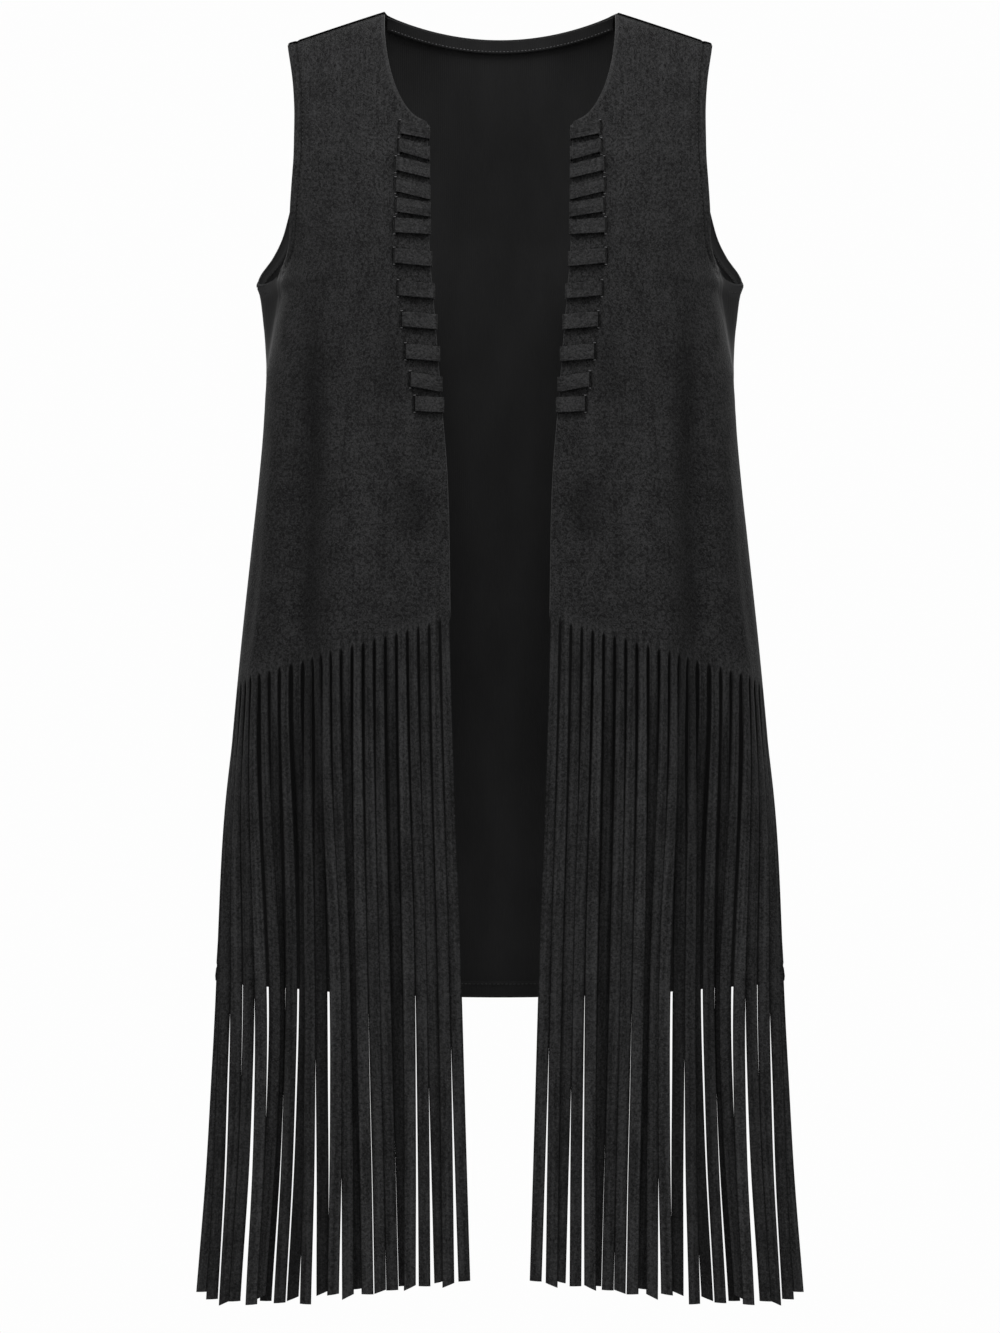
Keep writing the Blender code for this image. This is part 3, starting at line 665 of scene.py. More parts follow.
def back_rows(seam_steps=110, underarm_steps=10, armhole_steps=40, top_steps=40):
    """For each row: height at the centre back, turn and height at its end, and its share of the bend."""
    steps = edged_shares(seam_steps, fine_count=24, fine_share=0.03)
    middle = mix(BACK_HEM_CENTRE_HEIGHT, BACK_SEAM_TOP_HEIGHT, steps)
    side = mix(BACK_HEM_SIDE_HEIGHT, BACK_SEAM_TOP_HEIGHT, steps)
    seam = stacked(middle, BACK_SEAM_TURN, side, 0.0)

    steps = shares_after_start(underarm_steps)
    side = mix(BACK_SEAM_TOP_HEIGHT, UNDERARM_HEIGHT, steps)
    underarm = stacked(side, mix(BACK_SEAM_TURN, UNDERARM_TURN, steps), side, 0.0)

    steps = shares_after_start(armhole_steps)
    middle = mix(UNDERARM_HEIGHT, ARMHOLE_MID_HEIGHT, steps)
    side = mix(UNDERARM_HEIGHT, ARMHOLE_MID_HEIGHT, steps ** ROW_BUNCHING)
    armhole = stacked(middle, table_at(BACK_ARMHOLE, side), side, 0.0)

    left = upper_shares(top_steps)
    middle = mix(BACK_NECK_HEIGHT, ARMHOLE_MID_HEIGHT, left)
    side = mix(SHOULDER_TIP_HEIGHT, ARMHOLE_MID_HEIGHT, left)
    top = stacked(middle, table_at(BACK_ARMHOLE, side), side, 1.0 - left)
    return np.concatenate((seam, underarm, armhole, top))


def back_places(side_columns=26, neck_columns=32):
    """Turns and heights of the back panel's points, from the wearer's left to the right."""
    middle, side_turn, side, bend = back_rows().T[..., None]
    neck = girth(neck_turn(NECK_HALF_WIDTH))
    outer = mix(girth(side_turn), neck, edged_shares(side_columns, fine_count=16, fine_share=0.15)[None, :])
    inner = mix(neck, girth(180.0), shares_after_start(neck_columns))
    half = turn_at(np.concatenate((outer, np.broadcast_to(inner, (len(outer), neck_columns))), axis=1))
    turn = np.concatenate((half, 360.0 - half[:, -2::-1]), axis=1)
    share = np.abs(2.0 * girth_share(turn, side_turn, 360.0 - side_turn) - 1.0) ** 2
    height = mix(middle, side, share)
    height = height + bend * (top_height(turn) - mix(BACK_NECK_HEIGHT, SHOULDER_TIP_HEIGHT, share))
    return turn, height + seam_rise(from_front(turn), height)


# Meshes

def distance_to(points, line):
    """Distance of each point from the nearest point of a line."""
    flat = points.reshape(-1, 3)
    nearest = np.full(len(flat), np.inf)
    for mark in line:
        nearest = np.minimum(nearest, np.linalg.norm(flat - mark, axis=-1))
    return nearest.reshape(points.shape[:-1])


def cloth_lengths(turn, height):
    """Texture coordinates in metres: the length of cloth from the centre front, and the height."""
    return stacked(girth(turn), height)


def new_mesh(name, bm):
    mesh = bpy.data.meshes.new(name)
    bm.to_mesh(mesh)
    bm.free()
    return mesh


def mesh_from_grids(name, grids, side):
    """A mesh from several grids of points, each with its texture coordinates, its closeness to a marked edge
    (worn cut edges with painted highlight on suede, painted shade on knit) and its tone with painted light
    and shade."""
    bm = bmesh.new()
    places, lengths, edges, tones = [], [], [], []
    order = slice(None, None, -1) if side < 0 else slice(None)
    for points, uv, edge, tone in grids:
        rows, columns = points.shape[:2]
        bmesh.ops.create_grid(bm, x_segments=columns - 1, y_segments=rows - 1, size=0.5)
        places.append((points[:, order] * (side, 1.0, 1.0)).reshape(-1, 3))
        lengths.append(uv[:, order].reshape(-1, 2))
        edges.append(np.broadcast_to(edge, (rows, columns))[:, order].reshape(-1))
        tones.append(np.broadcast_to(tone, (rows, columns))[:, order].reshape(-1))
    mesh = new_mesh(name, bm)
    mesh.vertices.foreach_set("co", np.concatenate(places).astype(np.float32).reshape(-1))
    corners = np.empty(len(mesh.loops), np.int32)
    mesh.loops.foreach_get("vertex_index", corners)
    layer = mesh.uv_layers.new(name="cloth_lengths")
    layer.data.foreach_set("uv", np.concatenate(lengths)[corners].astype(np.float32).reshape(-1))
    for label, values in (("edge_wear_and_painted_light", edges), ("tone_and_painted_light", tones)):
        attribute = mesh.attributes.new(label, "FLOAT", "POINT")
        attribute.data.foreach_set("value", np.concatenate(values).astype(np.float32))
    return mesh


def merge_mesh(mesh, distance, fill_ends=False):
    """Merge the points that coincide, and close the open ends of tubes."""
    bm = bmesh.new()
    bm.from_mesh(mesh)
    bmesh.ops.remove_doubles(bm, verts=bm.verts[:], dist=distance)
    if fill_ends:
        bmesh.ops.holes_fill(bm, edges=[edge for edge in bm.edges if edge.is_boundary], sides=0)
        bmesh.ops.recalc_face_normals(bm, faces=bm.faces[:])
    bm.to_mesh(mesh)
    bm.free()


def add_object(name, data, material=None):
    obj = bpy.data.objects.new(name, data)
    bpy.context.scene.collection.objects.link(obj)
    if material:
        data.materials.append(material)
    return obj


def add_panel(name, mesh, material, wall):
    """A piece of cloth with a wall inside the mesh of its outer face."""
    panel = add_object(name, mesh, material)
    solidify = panel.modifiers.new("wall", "SOLIDIFY")
    solidify.thickness = wall
    solidify.offset = -1.0
    return panel


def bake_form(obj):
    """Apply the modifiers, and shade the faces smooth with crisp cut edges."""
    depsgraph = bpy.context.evaluated_depsgraph_get()
    mesh = bpy.data.meshes.new_from_object(
        obj.evaluated_get(depsgraph), preserve_all_data_layers=True, depsgraph=depsgraph)
    obj.modifiers.clear()
    obj.data = mesh
    mesh.shade_smooth()
    mesh.set_sharp_from_angle(angle=SHARP_ANGLE)
    return obj


# Materials

def new_material(name):
    material = bpy.data.materials.new(name)
    material.use_nodes = True
    return material, material.node_tree, material.node_tree.nodes["Principled BSDF"]


def add_node(tree, kind, inputs=None, **settings):
    """A node with its settings made and its inputs set or linked."""
    node = tree.nodes.new("ShaderNode" + kind)
    for key, value in settings.items():
        setattr(node, key, value)
    for key, value in (inputs or {}).items():
        if isinstance(value, bpy.types.NodeSocket):
            tree.links.new(value, node.inputs[key])
        else:
            node.inputs[key].default_value = value
    return node


def cloth_noise(tree, coordinates, across, along, detail=2.0, roughness=0.55):
    """Noise with marks of the given width and length on the cloth."""
    scale = (1 / across, 1 / along, 1.0)
    scaled = add_node(tree, "Mapping", {"Vector": coordinates, "Scale": scale})
    inputs = {"Vector": scaled.outputs["Vector"], "Scale": 1.0, "Detail": detail, "Roughness": roughness}
    return add_node(tree, "TexNoise", inputs, noise_dimensions="2D").outputs["Fac"]


def weighted(tree, first, weight, second):
    """second + weight * (first - 0.5)."""
    centred = add_node(tree, "Math", {0: first, 1: 0.5}, operation="SUBTRACT").outputs[0]
    terms = {0: centred, 1: weight, 2: second}
    return add_node(tree, "Math", terms, operation="MULTIPLY_ADD").outputs[0]


def near_black(tone, blue_share=BLUE_SHARE):
    return (tone, tone, tone * blue_share, 1.0)


def tone_ramp(tree, factor, stops):
    ramp = add_node(tree, "ValToRGB", {"Fac": factor})
    elements = ramp.color_ramp.elements
    while len(elements) < len(stops):
        elements.new(0.5)
    for element, (place, tone) in zip(elements, stops):
        element.position = place
        element.color = near_black(tone)
    return ramp.outputs["Color"]


def mixed(tree, factor, first, second, blend="MIX"):
    colours = {"Factor": factor, 6: first, 7: second}
    return add_node(tree, "Mix", colours, data_type="RGBA", blend_type=blend).outputs[2]


def toned(tree, colour, edge_share, edge_colour):
    """A colour in the tones set on a mesh's points, which hold painted light and shade, with another colour
    on its marked edges: on suede, paler worn cut edges with painted highlight; on knit, painted shade.
    """
    tone = add_node(tree, "Attribute", attribute_name="tone_and_painted_light").outputs["Color"]
    edge = add_node(tree, "Attribute", attribute_name="edge_wear_and_painted_light").outputs["Fac"]
    share = add_node(tree, "Math", {0: edge, 1: edge_share}, operation="MULTIPLY").outputs[0]
    return mixed(tree, share, mixed(tree, 1.0, colour, tone, "MULTIPLY"), edge_colour)


def finish_shader(tree, shader, colour, bump, looks):
    """Give a shader its colour, its fine relief and the values of its other looks."""
    tree.links.new(colour, shader.inputs["Base Color"])
    relief = add_node(tree, "Bump", bump)
    tree.links.new(relief.outputs["Normal"], shader.inputs["Normal"])
    for socket, value in looks.items():
        shader.inputs[socket].default_value = value


def suede_material(name, tone, fleck, streak):
    """Brushed suede: mottled, with a short nap that lies down the cloth, and paler cut edges that are partly
    wear and partly painted highlight.
    """
    material, tree, shader = new_material(name)
    coordinates = add_node(tree, "UVMap", uv_map="cloth_lengths").outputs["UV"]
    patches = cloth_noise(tree, coordinates, across=0.016, along=0.022, detail=4.0, roughness=0.6)
    nap = cloth_noise(tree, coordinates, across=0.0022, along=0.0027, detail=3.0, roughness=0.65)
    grain = cloth_noise(tree, coordinates, across=0.0011, along=0.0013, roughness=0.7)
    curls = cloth_noise(tree, coordinates, across=0.0044, along=0.0044, roughness=0.6)
    streaks = cloth_noise(tree, coordinates, across=0.0032, along=0.120, roughness=0.6)
    flecks = tone_ramp(tree, curls, CURL_TONES)
    mottle = SUEDE_MIDDLE
    for marks, weight in ((patches, 0.6), (nap, 1.25), (grain, 1.0), (flecks, fleck), (streaks, streak)):
        mottle = weighted(tree, marks, weight, mottle)
    colour = tone_ramp(tree, mottle, ((0.1, tone * 0.35), (0.5, tone), (0.9, tone * 2.0)))
    worn_and_lit = near_black(tone * WORN_AND_LIT_EDGE_TONE, WORN_AND_LIT_EDGE_BLUE_SHARE)
    finish_shader(
        tree, shader, toned(tree, colour, EDGE_WEAR_AND_HIGHLIGHT, worn_and_lit),
        {"Height": weighted(tree, grain, 0.8, nap), "Strength": 0.7, "Distance": 0.0008},
        {"Roughness": 0.95, "Specular IOR Level": 0.12, "Sheen Weight": 0.07, "Sheen Roughness": 0.45})
    return material


def knit_material(name, tone):
    """Smooth fine knit with faint wales."""
    material, tree, shader = new_material(name)
    coordinates = add_node(tree, "UVMap", uv_map="cloth_lengths").outputs["UV"]
    patches = cloth_noise(tree, coordinates, across=0.030, along=0.070)
    wales = cloth_noise(tree, coordinates, across=0.0008, along=0.0100)
    mottle = weighted(tree, wales, 0.5, patches)
    colour = tone_ramp(tree, mottle, ((0.2, tone * 0.87), (0.8, tone * 1.16)))
    # Painted shade on the marked rows
    seam = near_black(tone * SEAM_SHADE_TONE, blue_share=1.0)
    waves = {"Vector": coordinates, "Scale": 180.0, "Distortion": 0.6}
    loops = add_node(tree, "TexWave", waves, bands_direction="X").outputs["Fac"]
    finish_shader(
        tree, shader, toned(tree, colour, 1.0, seam),
        {"Height": weighted(tree, wales, 0.6, loops), "Strength": 0.25, "Distance": 0.0003},
        {"Roughness": 0.80, "Specular IOR Level": 0.15, "Sheen Weight": 0.08, "Sheen Roughness": 0.4})
    return material


def thread_material(name, tone):
    """Twisted sewing thread."""
    material, tree, shader = new_material(name)
    coordinates = add_node(tree, "TexCoord").outputs["Object"]
    waves = {"Vector": coordinates, "Scale": 900.0, "Distortion": 1.0}
    twist = add_node(tree, "TexWave", waves, bands_direction="DIAGONAL").outputs["Fac"]
    finish_shader(
        tree, shader, tone_ramp(tree, twist, ((0.0, tone * 0.6), (1.0, tone * 1.3))),
        {"Height": twist, "Strength": 0.4, "Distance": 0.0001},
        {"Roughness": 0.6, "Sheen Weight": 0.05})
    return material


# Cloth pieces

def stitched_line(distance, hem):
    """1 on the stitched line of a hem, by distance from the folded edge."""
    return np.exp(-(((distance - hem) / STITCH_GROOVE_WIDTH) ** 2))


def hem_relief(distance, hem):
    """Rise of a turned hem and dip of its stitched line, by distance from the folded edge."""
    puff = HEM_PUFF * ease(1.0 - distance / hem) * ease(distance / (hem * HEM_EDGE_SHARE))
    return puff - STITCH_GROOVE * stitched_line(distance, hem)


def front_armhole_line(count=240):
    """Turns and heights along the front's armhole, from the underarm to the shoulder."""
    side = mix(SEAM_TOP_HEIGHT, SHOULDER_TIP_HEIGHT, np.linspace(0.0, 1.0, count) ** LINE_BUNCHING)
    return np.minimum(table_at(FRONT_ARMHOLE, side), FRONT_SEAM_TURN), side


def back_armhole_line(seam_count=40, count=240):
    """The same along the back's armhole, from the side seam through the underarm to the shoulder."""
    share = np.linspace(0.0, 1.0, seam_count)[:-1]
    seam_turn = mix(BACK_SEAM_TURN, UNDERARM_TURN, share)
    seam_side = mix(BACK_SEAM_TOP_HEIGHT, UNDERARM_HEIGHT, share)
    seam_side = seam_side + seam_rise(seam_turn, seam_side)
    side = mix(UNDERARM_HEIGHT, SHOULDER_TIP_HEIGHT, np.linspace(0.0, 1.0, count) ** LINE_BUNCHING)
    return np.concatenate((seam_turn, table_at(BACK_ARMHOLE, side))), np.concatenate((seam_side, side))


def slits():
    """For each slit: its edge's distance from the centre plane, its height, the strap's fall from it."""
    return [(table_at(FRONT_EDGE, height) + run, height, fall) for height, run, fall in WRAPS]


def slit_shade(across, height):
    """1 on the outer lips of the slits, where shade is painted."""
    rows = []
    for slit, level, _ in slits():
        lip = slit + SLIT_WIDTH
        rows.append((lip, level + SLIT_LENGTH / 2, lip, level - SLIT_LENGTH / 2, SLIT_SHADE, 1.0))
    return strokes(rows, across, height, SLIT_SHADE_FADE)


def build_slit_cutter(side):
    """Blocks that cut the slits, each square to the cloth."""
    bm = bmesh.new()
    for slit, height, _ in slits():
        turn = front_turn(slit + SLIT_WIDTH / 2, height)
        normal = Vector(cloth_normal(turn, height))
        up = Vector(tangents(turn, height, HEIGHT_STEP)[1]).normalized()
        along = normal.cross(up).normalized()
        place = Matrix((along, normal, up)).transposed().to_4x4()
        place.translation = Vector(cloth(turn, height, -SUEDE_WALL / 2))
        size = Matrix.Diagonal((SLIT_WIDTH, SLIT_CUTTER_DEPTH, SLIT_LENGTH, 1.0))
        bmesh.ops.create_cube(bm, size=1.0, matrix=place @ size)
    if side < 0:
        bmesh.ops.scale(bm, vec=(-1.0, 1.0, 1.0), verts=bm.verts[:])
        bmesh.ops.reverse_faces(bm, faces=bm.faces[:])
    return add_object("slit_cutter", new_mesh("slit_cutter", bm))


def build_front(side, name, material):
    turn, height = front_places()
    points = cloth(turn, height)
    from_armhole = distance_to(points, cloth(*front_armhole_line()))
    lengths = cloth_lengths(turn, height)
    on_neck = height[:, :1] > FRONT_NECK_HEIGHT
    on_rim = lengths[..., 0] - lengths[:, :1, 0] < NECK_RIM
    at_underarm = ease((height[:, -1] - SIDE_RIM_END) / SIDE_RIM_FADE)
    on_seam = (height[:, -1:] < SEAM_TOP_HEIGHT) & (lengths[:, -1:, 0] - lengths[..., 0] < SIDE_RIM)
    # Paler front edge and neck rim: partly wear of the cut edge, partly painted highlight
    edges = NECK_RIM_TONE * (on_neck & on_rim)
    edges[:, 0] = 1.0
    # Painted highlight: a pale line down the side edge and side seam below the armhole, fading out lower down
    edges[:, -1] = at_underarm
    edges = np.maximum(edges, SIDE_RIM_HIGHLIGHT * on_seam * at_underarm[:, None])
    # Painted shade and light of the folds from the nap marks, and painted shade in the stitched groove of the
    # armhole hem
    tone = tone_and_painted_light(turn, height) * (1.0 - STITCH_GROOVE_SHADE * stitched_line(from_armhole, ARMHOLE_HEM))
    # Painted shade on the lips beside each slit
    tone = tone * (1.0 - SLIT_SHADE_TONE * slit_shade(points[..., 0], height))
    points = points + cloth_normal(turn, height) * hem_relief(from_armhole, ARMHOLE_HEM)[..., None]
    mesh = mesh_from_grids(name, [(points, lengths, edges, tone)], side)
    panel = add_panel(name, mesh, material, SUEDE_WALL)
    cutter = build_slit_cutter(side)
    cut = panel.modifiers.new("slits", "BOOLEAN")
    cut.operation = "DIFFERENCE"
    cut.solver = "EXACT"
    cut.object = cutter
    bake_form(panel)
    bpy.data.objects.remove(cutter, do_unlink=True)
    return panel


def build_back(material):
    turn, height = back_places()
    points = cloth(turn, height)
    armhole_turn, armhole_height = back_armhole_line()
    left = cloth(armhole_turn, armhole_height)
    right = cloth(360.0 - armhole_turn, armhole_height)
    from_armhole = distance_to(points, np.concatenate((left, right)))
    relief = hem_relief(from_armhole, ARMHOLE_HEM)
    relief = relief + hem_relief(height - height[:1], BACK_HEM_DEPTH)
    points = points + cloth_normal(turn, height) * relief[..., None]
    on_shoulder = np.abs(points[-1, :, 0]) > NECK_HALF_WIDTH
    # Painted shade: the top rows along the shoulders are marked to go near-black
    seam = np.zeros(height.shape)
    seam[-SHOULDER_SEAM_ROWS:] = on_shoulder
    points[-1, :, 2] += SHOULDER_SEAM_RISE * on_shoulder
    # Painted light on the back's armhole hem, stronger toward the underarm
    on_hem = 1.0 - ease((from_armhole - ARMHOLE_HEM) / UNDERARM_HEM_SOFT)
    tone = 1.0 + UNDERARM_HEM_LIGHT * on_hem * ease((UNDERARM_HEM_TOP - height) / UNDERARM_HEM_FADE)
    mesh = mesh_from_grids("back", [(points, cloth_lengths(turn, height), seam, tone)], 1)
    return bake_form(add_panel("back", mesh, material, KNIT_WALL))


def facing_places(columns=96, rows=8):
    first = neck_turn(NECK_HALF_WIDTH - FACING_END)
    turn = turn_at(np.linspace(girth(first), girth(360.0 - first), columns + 1))[None, :]
    down = np.linspace(1.0, 0.0, rows + 1)[:, None]
    return np.broadcast_arrays(turn, top_height(turn) - FACING_DEPTH * down)


def facing_inset(turn, height):
    """How far inside the back's outer face the facing lies: more at its lower edge."""
    return KNIT_WALL + FACING_GAP + FACING_TILT * (top_height(turn) - height) / FACING_DEPTH


def build_facing(material):
    """The strip inside the back's neck edge, from one neck point to the other."""
    turn, height = facing_places()
    points = cloth(turn, height, -facing_inset(turn, height))
    # Painted shadow: the facing's lower edge is marked to go near-black
    lower_edge_shadow = np.zeros(height.shape)
    lower_edge_shadow[0] = 1.0
    mesh = mesh_from_grids("neck_facing", [(points, cloth_lengths(turn, height), lower_edge_shadow, EVEN_TONE)], 1)
    return bake_form(add_panel("neck_facing", mesh, material, FACING_WALL))


# Fringe

def strip_grid(first_turn, last_turn, shape):
    """Points, texture coordinates, edges and tones of one strip, from the tip to the backing's top."""
    half_across, tip_across, lift, half_twist, tip_twist, tip_height, tip_slant = shape
    waist = mix(STRIP_WAIST_FRONT, STRIP_WAIST_SIDE, first_turn / SEAM_TURN)
    columns = np.array(STRIP_COLUMNS)[None, :]
    centre_turn = turn_at((girth(first_turn) + girth(last_turn)) / 2)
    half_girth = (girth(last_turn) - girth(first_turn)) / 2
    root_height = cut_height(centre_turn)
    length = root_height - tip_height
    backing = -BACKING_DEPTH / length * np.linspace(1.0, 1.0 / BACKING_ROWS, BACKING_ROWS)
    rings = np.linspace(0.0, 1.0, STRIP_RINGS + 1) ** STRIP_RING_BUNCHING
    share = np.concatenate((backing, rings))[:, None]
    fallen = np.clip(share, 0.0, 1.0)
    half_turn = front_turn(half_across, root_height - length / 2)
    tip_turn = front_turn(tip_across, tip_height)
    turn = table_at(((0.0, centre_turn), (0.5, half_turn), (1.0, tip_turn)), fallen)
    out = lift * ease(fallen / STRIP_LIFT_SHARE)

    opened = ease(fallen * length / CUT_TAPER)
    full = mix(STRIP_WIDTH, STRIP_TIP_WIDTH, fallen) / 2
    half = half_girth * mix(1.0, waist, opened)
    half = mix(half, full, ease(fallen / STRIP_WAIST_END))
    on_turn = turn_at(girth(turn) + half * columns)
    on_cut = turn_at(girth(centre_turn) + half_girth * columns)
    height = cut_height(on_cut) - length * share + tip_slant * columns * fallen

    level = root_height - length * share
    facing = STRIP_FACING * ease(fallen / STRIP_FACING_END)[..., None]
    normal = mix(cloth_normal(turn, level), np.array((0.0, -1.0, 0.0)), facing)
    across = unit(stacked(-normal[..., 1], normal[..., 0], 0.0))
    normal = np.cross(across, (0.0, 0.0, 1.0))
    twist = np.radians(table_at(((0.0, 0.0), (0.5, half_twist), (1.0, tip_twist)), fallen))[..., None]
    wide = across * np.cos(twist) + normal * np.sin(twist)
    thick = normal * np.cos(twist) - across * np.sin(twist)
    hanging = cloth(turn, level, out) + wide * (half * columns)[..., None]
    hanging = hanging - thick * (STRIP_CROWN * columns ** 2)[..., None]
    hanging[..., 2] = height

    freed = ease(fallen * length / STRIP_FREE_LENGTH)[..., None]
    points = mix(cloth(on_turn, height), hanging, freed)
    at_edge = np.where(np.abs(columns) == 1.0, opened, 0.0)
    # Painted shade on strips set back and painted light on strips that stand out
    tone = tone_and_painted_light(on_turn, np.maximum(height, root_height)) * (1.0 + LIFT_SHADE * out)
    # Painted shadow along the long edges of each strip, where neighbours meet
    tone = tone * mix(1.0, STRIP_EDGE_SHADOW, at_edge)
    return points[::-1], cloth_lengths(on_cut, height)[::-1], NO_EDGE, tone[::-1]


def build_fringe(side, name, material):
    bounds = turn_at(np.linspace(girth(cut_start_turn()), girth(FRONT_SEAM_TURN), len(STRIPS) + 1))
    grids = [strip_grid(*strip) for strip in zip(bounds, bounds[1:], STRIPS)]
    mesh = mesh_from_grids(name, grids, side)
    merge_mesh(mesh, STRIP_MERGE)
    return bake_form(add_panel(name, mesh, material, STRIP_WALL))


# Lacing

def strap_section(points=4):
    """Width and thickness offsets round the strap's rounded section."""
    corner = np.repeat(np.arange(4), points)
    angle = np.radians(90.0 * (corner + np.tile(np.linspace(0.0, 1.0, points), 4)))
    up = np.array((1, -1, -1, 1))[corner]
    out = np.array((1, 1, -1, -1))[corner]
    level = up * (STRAP_WIDTH / 2 - STRAP_CORNER) + STRAP_CORNER * np.cos(angle)
    thick = out * (STRAP_WALL / 2 - STRAP_CORNER) + STRAP_CORNER * np.sin(angle)
    offsets = stacked(level, thick)
    return np.concatenate((offsets, offsets[:1]))


def strap_path():
    """The strap's course: distance from the centre plane, height, place out of the cloth, and which way its
    thickness points, along the cloth and out of it."""
    middle = -SUEDE_WALL / 2
    radius = SUEDE_WALL / 2 + STRAP_GAP + STRAP_WALL / 2
    course = []

    def add_turn(place, first, last):
        for angle in np.radians(np.linspace(first, last, STRAP_TURN_STEPS + 1)):
            along = math.cos(angle)
            outward = math.sin(angle)
            course.append((place[0] + radius * along, place[1], middle + radius * outward, along, outward))

    def add_run(start, end, outward):
        for share in shares_after_start(STRAP_RUN_STEPS)[:-1]:
            across, height = (mix(*ends, share) for ends in zip(start, end))
            course.append((across, height, middle + radius * outward, 0.0, outward))

    edge = None
    for *slit, fall in slits():
        if edge is None:
            edge = (slit[0] - STRAP_TAIL, slit[1] + STRAP_TAIL_RISE)
            course.append((*edge, middle - radius, 0.0, -1.0))
        add_run(edge, slit, -1.0)
        add_turn(slit, -90.0, 90.0)
        edge = (table_at(FRONT_EDGE, slit[1] - fall), slit[1] - fall)
        add_run(slit, edge, 1.0)
        add_turn(edge, 90.0, 270.0)
    course.append((edge[0] + STRAP_TAIL, edge[1] - STRAP_TAIL_RISE, middle - radius, 0.0, -1.0))
    return np.array(course)


def build_lacing(side, name, material):
    across, height, out, along, outward = strap_path().T[..., None]
    section = strap_section()
    level, thick = section.T[:, None, :]
    tilt = STRAP_TILT * ((outward > 0) - np.clip(outward, 0.0, 1.0) * level / (STRAP_WIDTH / 2))
    turn = front_turn(across + thick * along, height + level)
    points = cloth(turn, height + level, out + thick * outward + tilt)
    lengths = stacked(lengths_along(section), lengths_along(points.mean(axis=1))[:, None])
    mesh = mesh_from_grids(name, [(points, lengths, NO_EDGE, EVEN_TONE)], side)
    merge_mesh(mesh, STRAP_MERGE, fill_ends=True)
    return bake_form(add_object(name, mesh, material))


# Sewing

def stitch_places(turn, height, out, face=1.0, pitch=STITCH_PITCH, length=STITCH_LENGTH, width=STITCH_WIDTH):
    """The three half axes and the centre of each stitch along a line that far out of the cloth."""
    points = cloth(turn, height, out)
    normals = face * cloth_normal(turn, height)
    run = lengths_along(points)
    at = np.arange(pitch / 2, run[-1] - pitch / 2, pitch)

    def on_line(values, where):
        return np.stack([np.interp(where, run, values[:, axis]) for axis in range(3)], axis=-1)

    centre = on_line(points, at)
    along = unit(on_line(points, at + pitch / 4) - centre)
    normal = unit(on_line(normals, at))
    beside = unit(np.cross(normal, along))
    return stacked(along * length / 2, beside * width / 2, normal * width * STITCH_FLATNESS / 2, centre)


def mirrored(places):
    """The places and their mirror images on the right side."""
    right = places * np.array((-1.0, 1.0, 1.0))[:, None]
    right[..., 0] *= -1.0
    return np.concatenate((places, right))


def sew(name, places, material):
    """One mesh of small rounded stitches at the given places."""
    bm = bmesh.new()
    bmesh.ops.create_uvsphere(bm, u_segments=6, v_segments=4, radius=1.0)
    mesh = new_mesh(name, bm)
    stitch = np.array([vertex.co for vertex in mesh.vertices])
    stitching = add_object(name, mesh, material)
    array = stitching.modifiers.new("stitches", "ARRAY")
    array.count = len(places)
    bake_form(stitching)
    points = np.einsum("nij,vj->nvi", places[..., :3], stitch) + places[:, None, :, 3]
    stitching.data.vertices.foreach_set("co", points.astype(np.float32).reshape(-1))
    stitching.data.update()
    return stitching


def hem_line(turn, height, inward):
    """Turns and heights of a line of stitching inside an edge."""
    ahead = unit(np.gradient(cloth(turn, height), axis=0))
    across = np.cross(cloth_normal(turn, height), ahead)
    return shifted(turn, height, across * inward)


def build_front_stitching(material):
    """The stitched lines of the two fronts' armholes, seen from outside."""
    turn, height = hem_line(*front_armhole_line(), ARMHOLE_HEM)
    keep = (height < STITCH_TOP_HEIGHT) & (turn < SEAM_TURN - STITCH_SEAM_GAP_TURN)
    places = stitch_places(turn[keep], height[keep], -OUTER_STITCH_SINK)
    return sew("front_armhole_stitching", mirrored(places), material)


def both_faces(turn, height):
    """Stitches along a line on the outer and the inner face of the knit."""
    outer = stitch_places(turn, height, -OUTER_STITCH_SINK)
    inner = stitch_places(turn, height, -KNIT_WALL - INNER_STITCH_SINK, face=-1.0)
    return np.concatenate((outer, inner))


def build_back_stitching(material):
    """The stitched lines of the back's armholes and hem, on both faces."""
    turn, height = hem_line(*back_armhole_line(), -ARMHOLE_HEM)
    keep = (height < STITCH_TOP_HEIGHT) & (turn > SEAM_TURN + STITCH_SEAM_GAP_TURN)
    armholes = mirrored(both_faces(turn[keep], height[keep]))
    turns, heights = back_places()
    hem = both_faces(turns[0, 2:-2], heights[0, 2:-2] + BACK_HEM_DEPTH)
    return sew("back_stitching", np.concatenate((armholes, hem)), material)


def build_facing_stitching(material):
    turns, heights = facing_places()
    turn = turns[0, 1:-1]
    height = heights[0, 1:-1] + FACING_STITCH_RISE
    out = -facing_inset(turn, height) - FACING_WALL
    sizes = (FACING_STITCH_PITCH, FACING_STITCH_LENGTH, FACING_STITCH_WIDTH)
    return sew("facing_stitching", stitch_places(turn, height, out, -1.0, *sizes), material)


def build_tacks(material):
    """Short cross stitches that hold the ends of the slits."""
    places = []
    for slit, slit_height, _ in slits():
        across = slit + SLIT_WIDTH - TACK_INSET + np.linspace(-0.5, 0.5, 3) * TACK_LENGTH
        for end in (-0.5, 0.5):
            height = slit_height + end * (SLIT_LENGTH + TACK_WIDTH)
            sizes = (TACK_PITCH, TACK_STITCH_LENGTH, TACK_WIDTH)
            places.append(stitch_places(front_turn(across, height), height, TACK_RISE, 1.0, *sizes))
    return sew("slit_tacks", mirrored(np.concatenate(places)), material)


# View and light

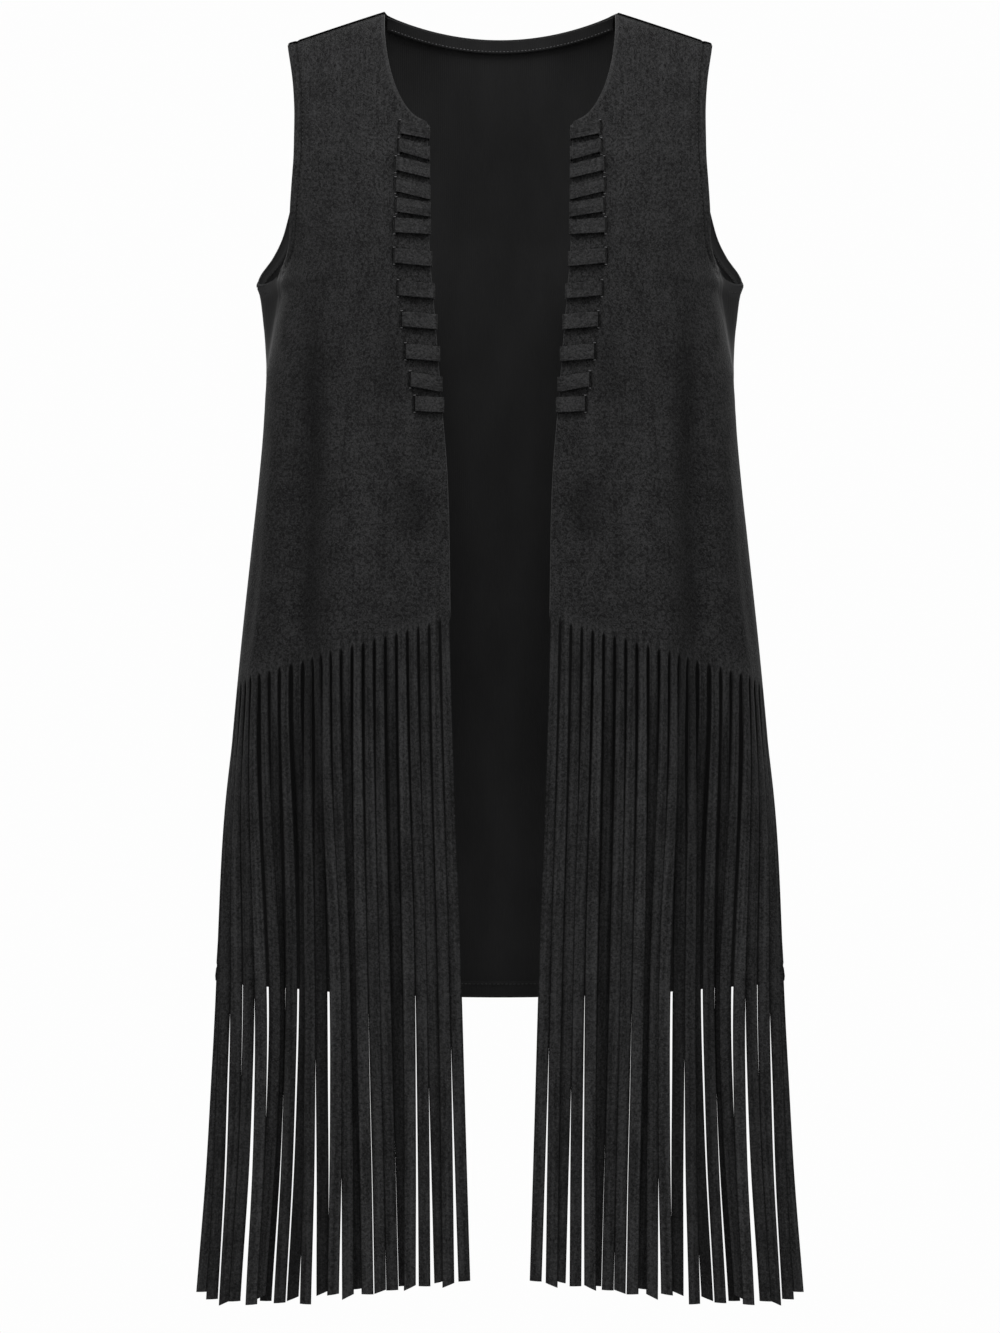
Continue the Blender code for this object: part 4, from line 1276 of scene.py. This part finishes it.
def set_world():
    world = bpy.data.worlds.new("studio")
    world.use_nodes = True
    bpy.context.scene.world = world
    tree = world.node_tree
    background = tree.nodes["Background"]
    background.inputs["Color"].default_value = (1.0, 1.0, 1.0, 1.0)
    path = add_node(tree, "LightPath")
    tones = {"Value": path.outputs["Is Camera Ray"], "To Min": AMBIENT_TONE, "To Max": BACKDROP_TONE}
    strength = add_node(tree, "MapRange", tones)
    tree.links.new(strength.outputs["Result"], background.inputs["Strength"])


def add_floor():
    bm = bmesh.new()
    bmesh.ops.create_circle(bm, cap_ends=True, segments=96, radius=FLOOR_RADIUS)
    bmesh.ops.translate(bm, vec=(0.0, 0.0, FLOOR_HEIGHT), verts=bm.verts[:])
    mesh = new_mesh("floor", bm)
    material, _, shader = new_material("pale_floor")
    shader.inputs["Base Color"].default_value = (FLOOR_TONE, FLOOR_TONE, FLOOR_TONE, 1.0)
    shader.inputs["Roughness"].default_value = 0.9
    add_object("floor", mesh, material)


def add_light(name, place, target, size, power):
    light = bpy.data.lights.new(name, "AREA")
    light.shape = "SQUARE"
    light.size = size
    light.energy = power
    obj = add_object(name, light)
    obj.location = place
    obj.rotation_euler = (Vector(target) - Vector(place)).to_track_quat("-Z", "Y").to_euler()


def add_camera():
    data = bpy.data.cameras.new("camera")
    data.sensor_width = SENSOR_WIDTH
    data.lens = SENSOR_WIDTH * CAMERA_DISTANCE / (PHOTO_HEIGHT * METRES_PER_PIXEL)
    camera = add_object("camera", data)
    camera.location = (0.0, -CAMERA_DISTANCE, CAMERA_HEIGHT)
    camera.rotation_euler = (math.radians(90.0), 0.0, 0.0)
    bpy.context.scene.camera = camera


def dress(piece, node):
    """Let a piece stand for a node: attach it to the root and hide the node."""
    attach(piece, "root")
    if node:
        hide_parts(node)
    return piece


def build_scene():
    bpy.context.scene.view_settings.view_transform = "Standard"
    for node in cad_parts.values():
        node.name = "solid_" + node.name
    add_camera()
    set_world()
    add_floor()
    for name, place, size, power in LIGHTS:
        add_light(name, place, (0.0, 0.0, CAMERA_HEIGHT), size, power)

    suede = suede_material("black_suede", tone=0.0175, fleck=0.7, streak=0.2)
    fringe_suede = suede_material("fringe_suede", tone=0.019, fleck=0.2, streak=1.0)
    strap_suede = suede_material("strap_suede", tone=0.019, fleck=0.4, streak=0.3)
    knit = knit_material("black_knit", tone=0.0145)
    facing_knit = knit_material("facing_knit", tone=0.016)
    thread = thread_material("black_thread", tone=0.005)
    tack_thread = thread_material("grey_thread", tone=0.09)

    back = dress(build_back(knit), "back")
    facing = dress(build_facing(facing_knit), "neck_facing")
    front_stitching = dress(build_front_stitching(thread), None)
    back_stitching = dress(build_back_stitching(thread), None)
    facing_stitching = dress(build_facing_stitching(tack_thread), None)
    tacks = dress(build_tacks(tack_thread), None)
    for side, label in ((1, "left"), (-1, "right")):
        front = dress(build_front(side, "front_" + label, suede), "front_" + label)
        fringe = dress(build_fringe(side, "fringe_" + label, fringe_suede), "fringe_" + label)
        lacing = dress(build_lacing(side, "lacing_" + label, strap_suede), "lacing_" + label)


build_scene()
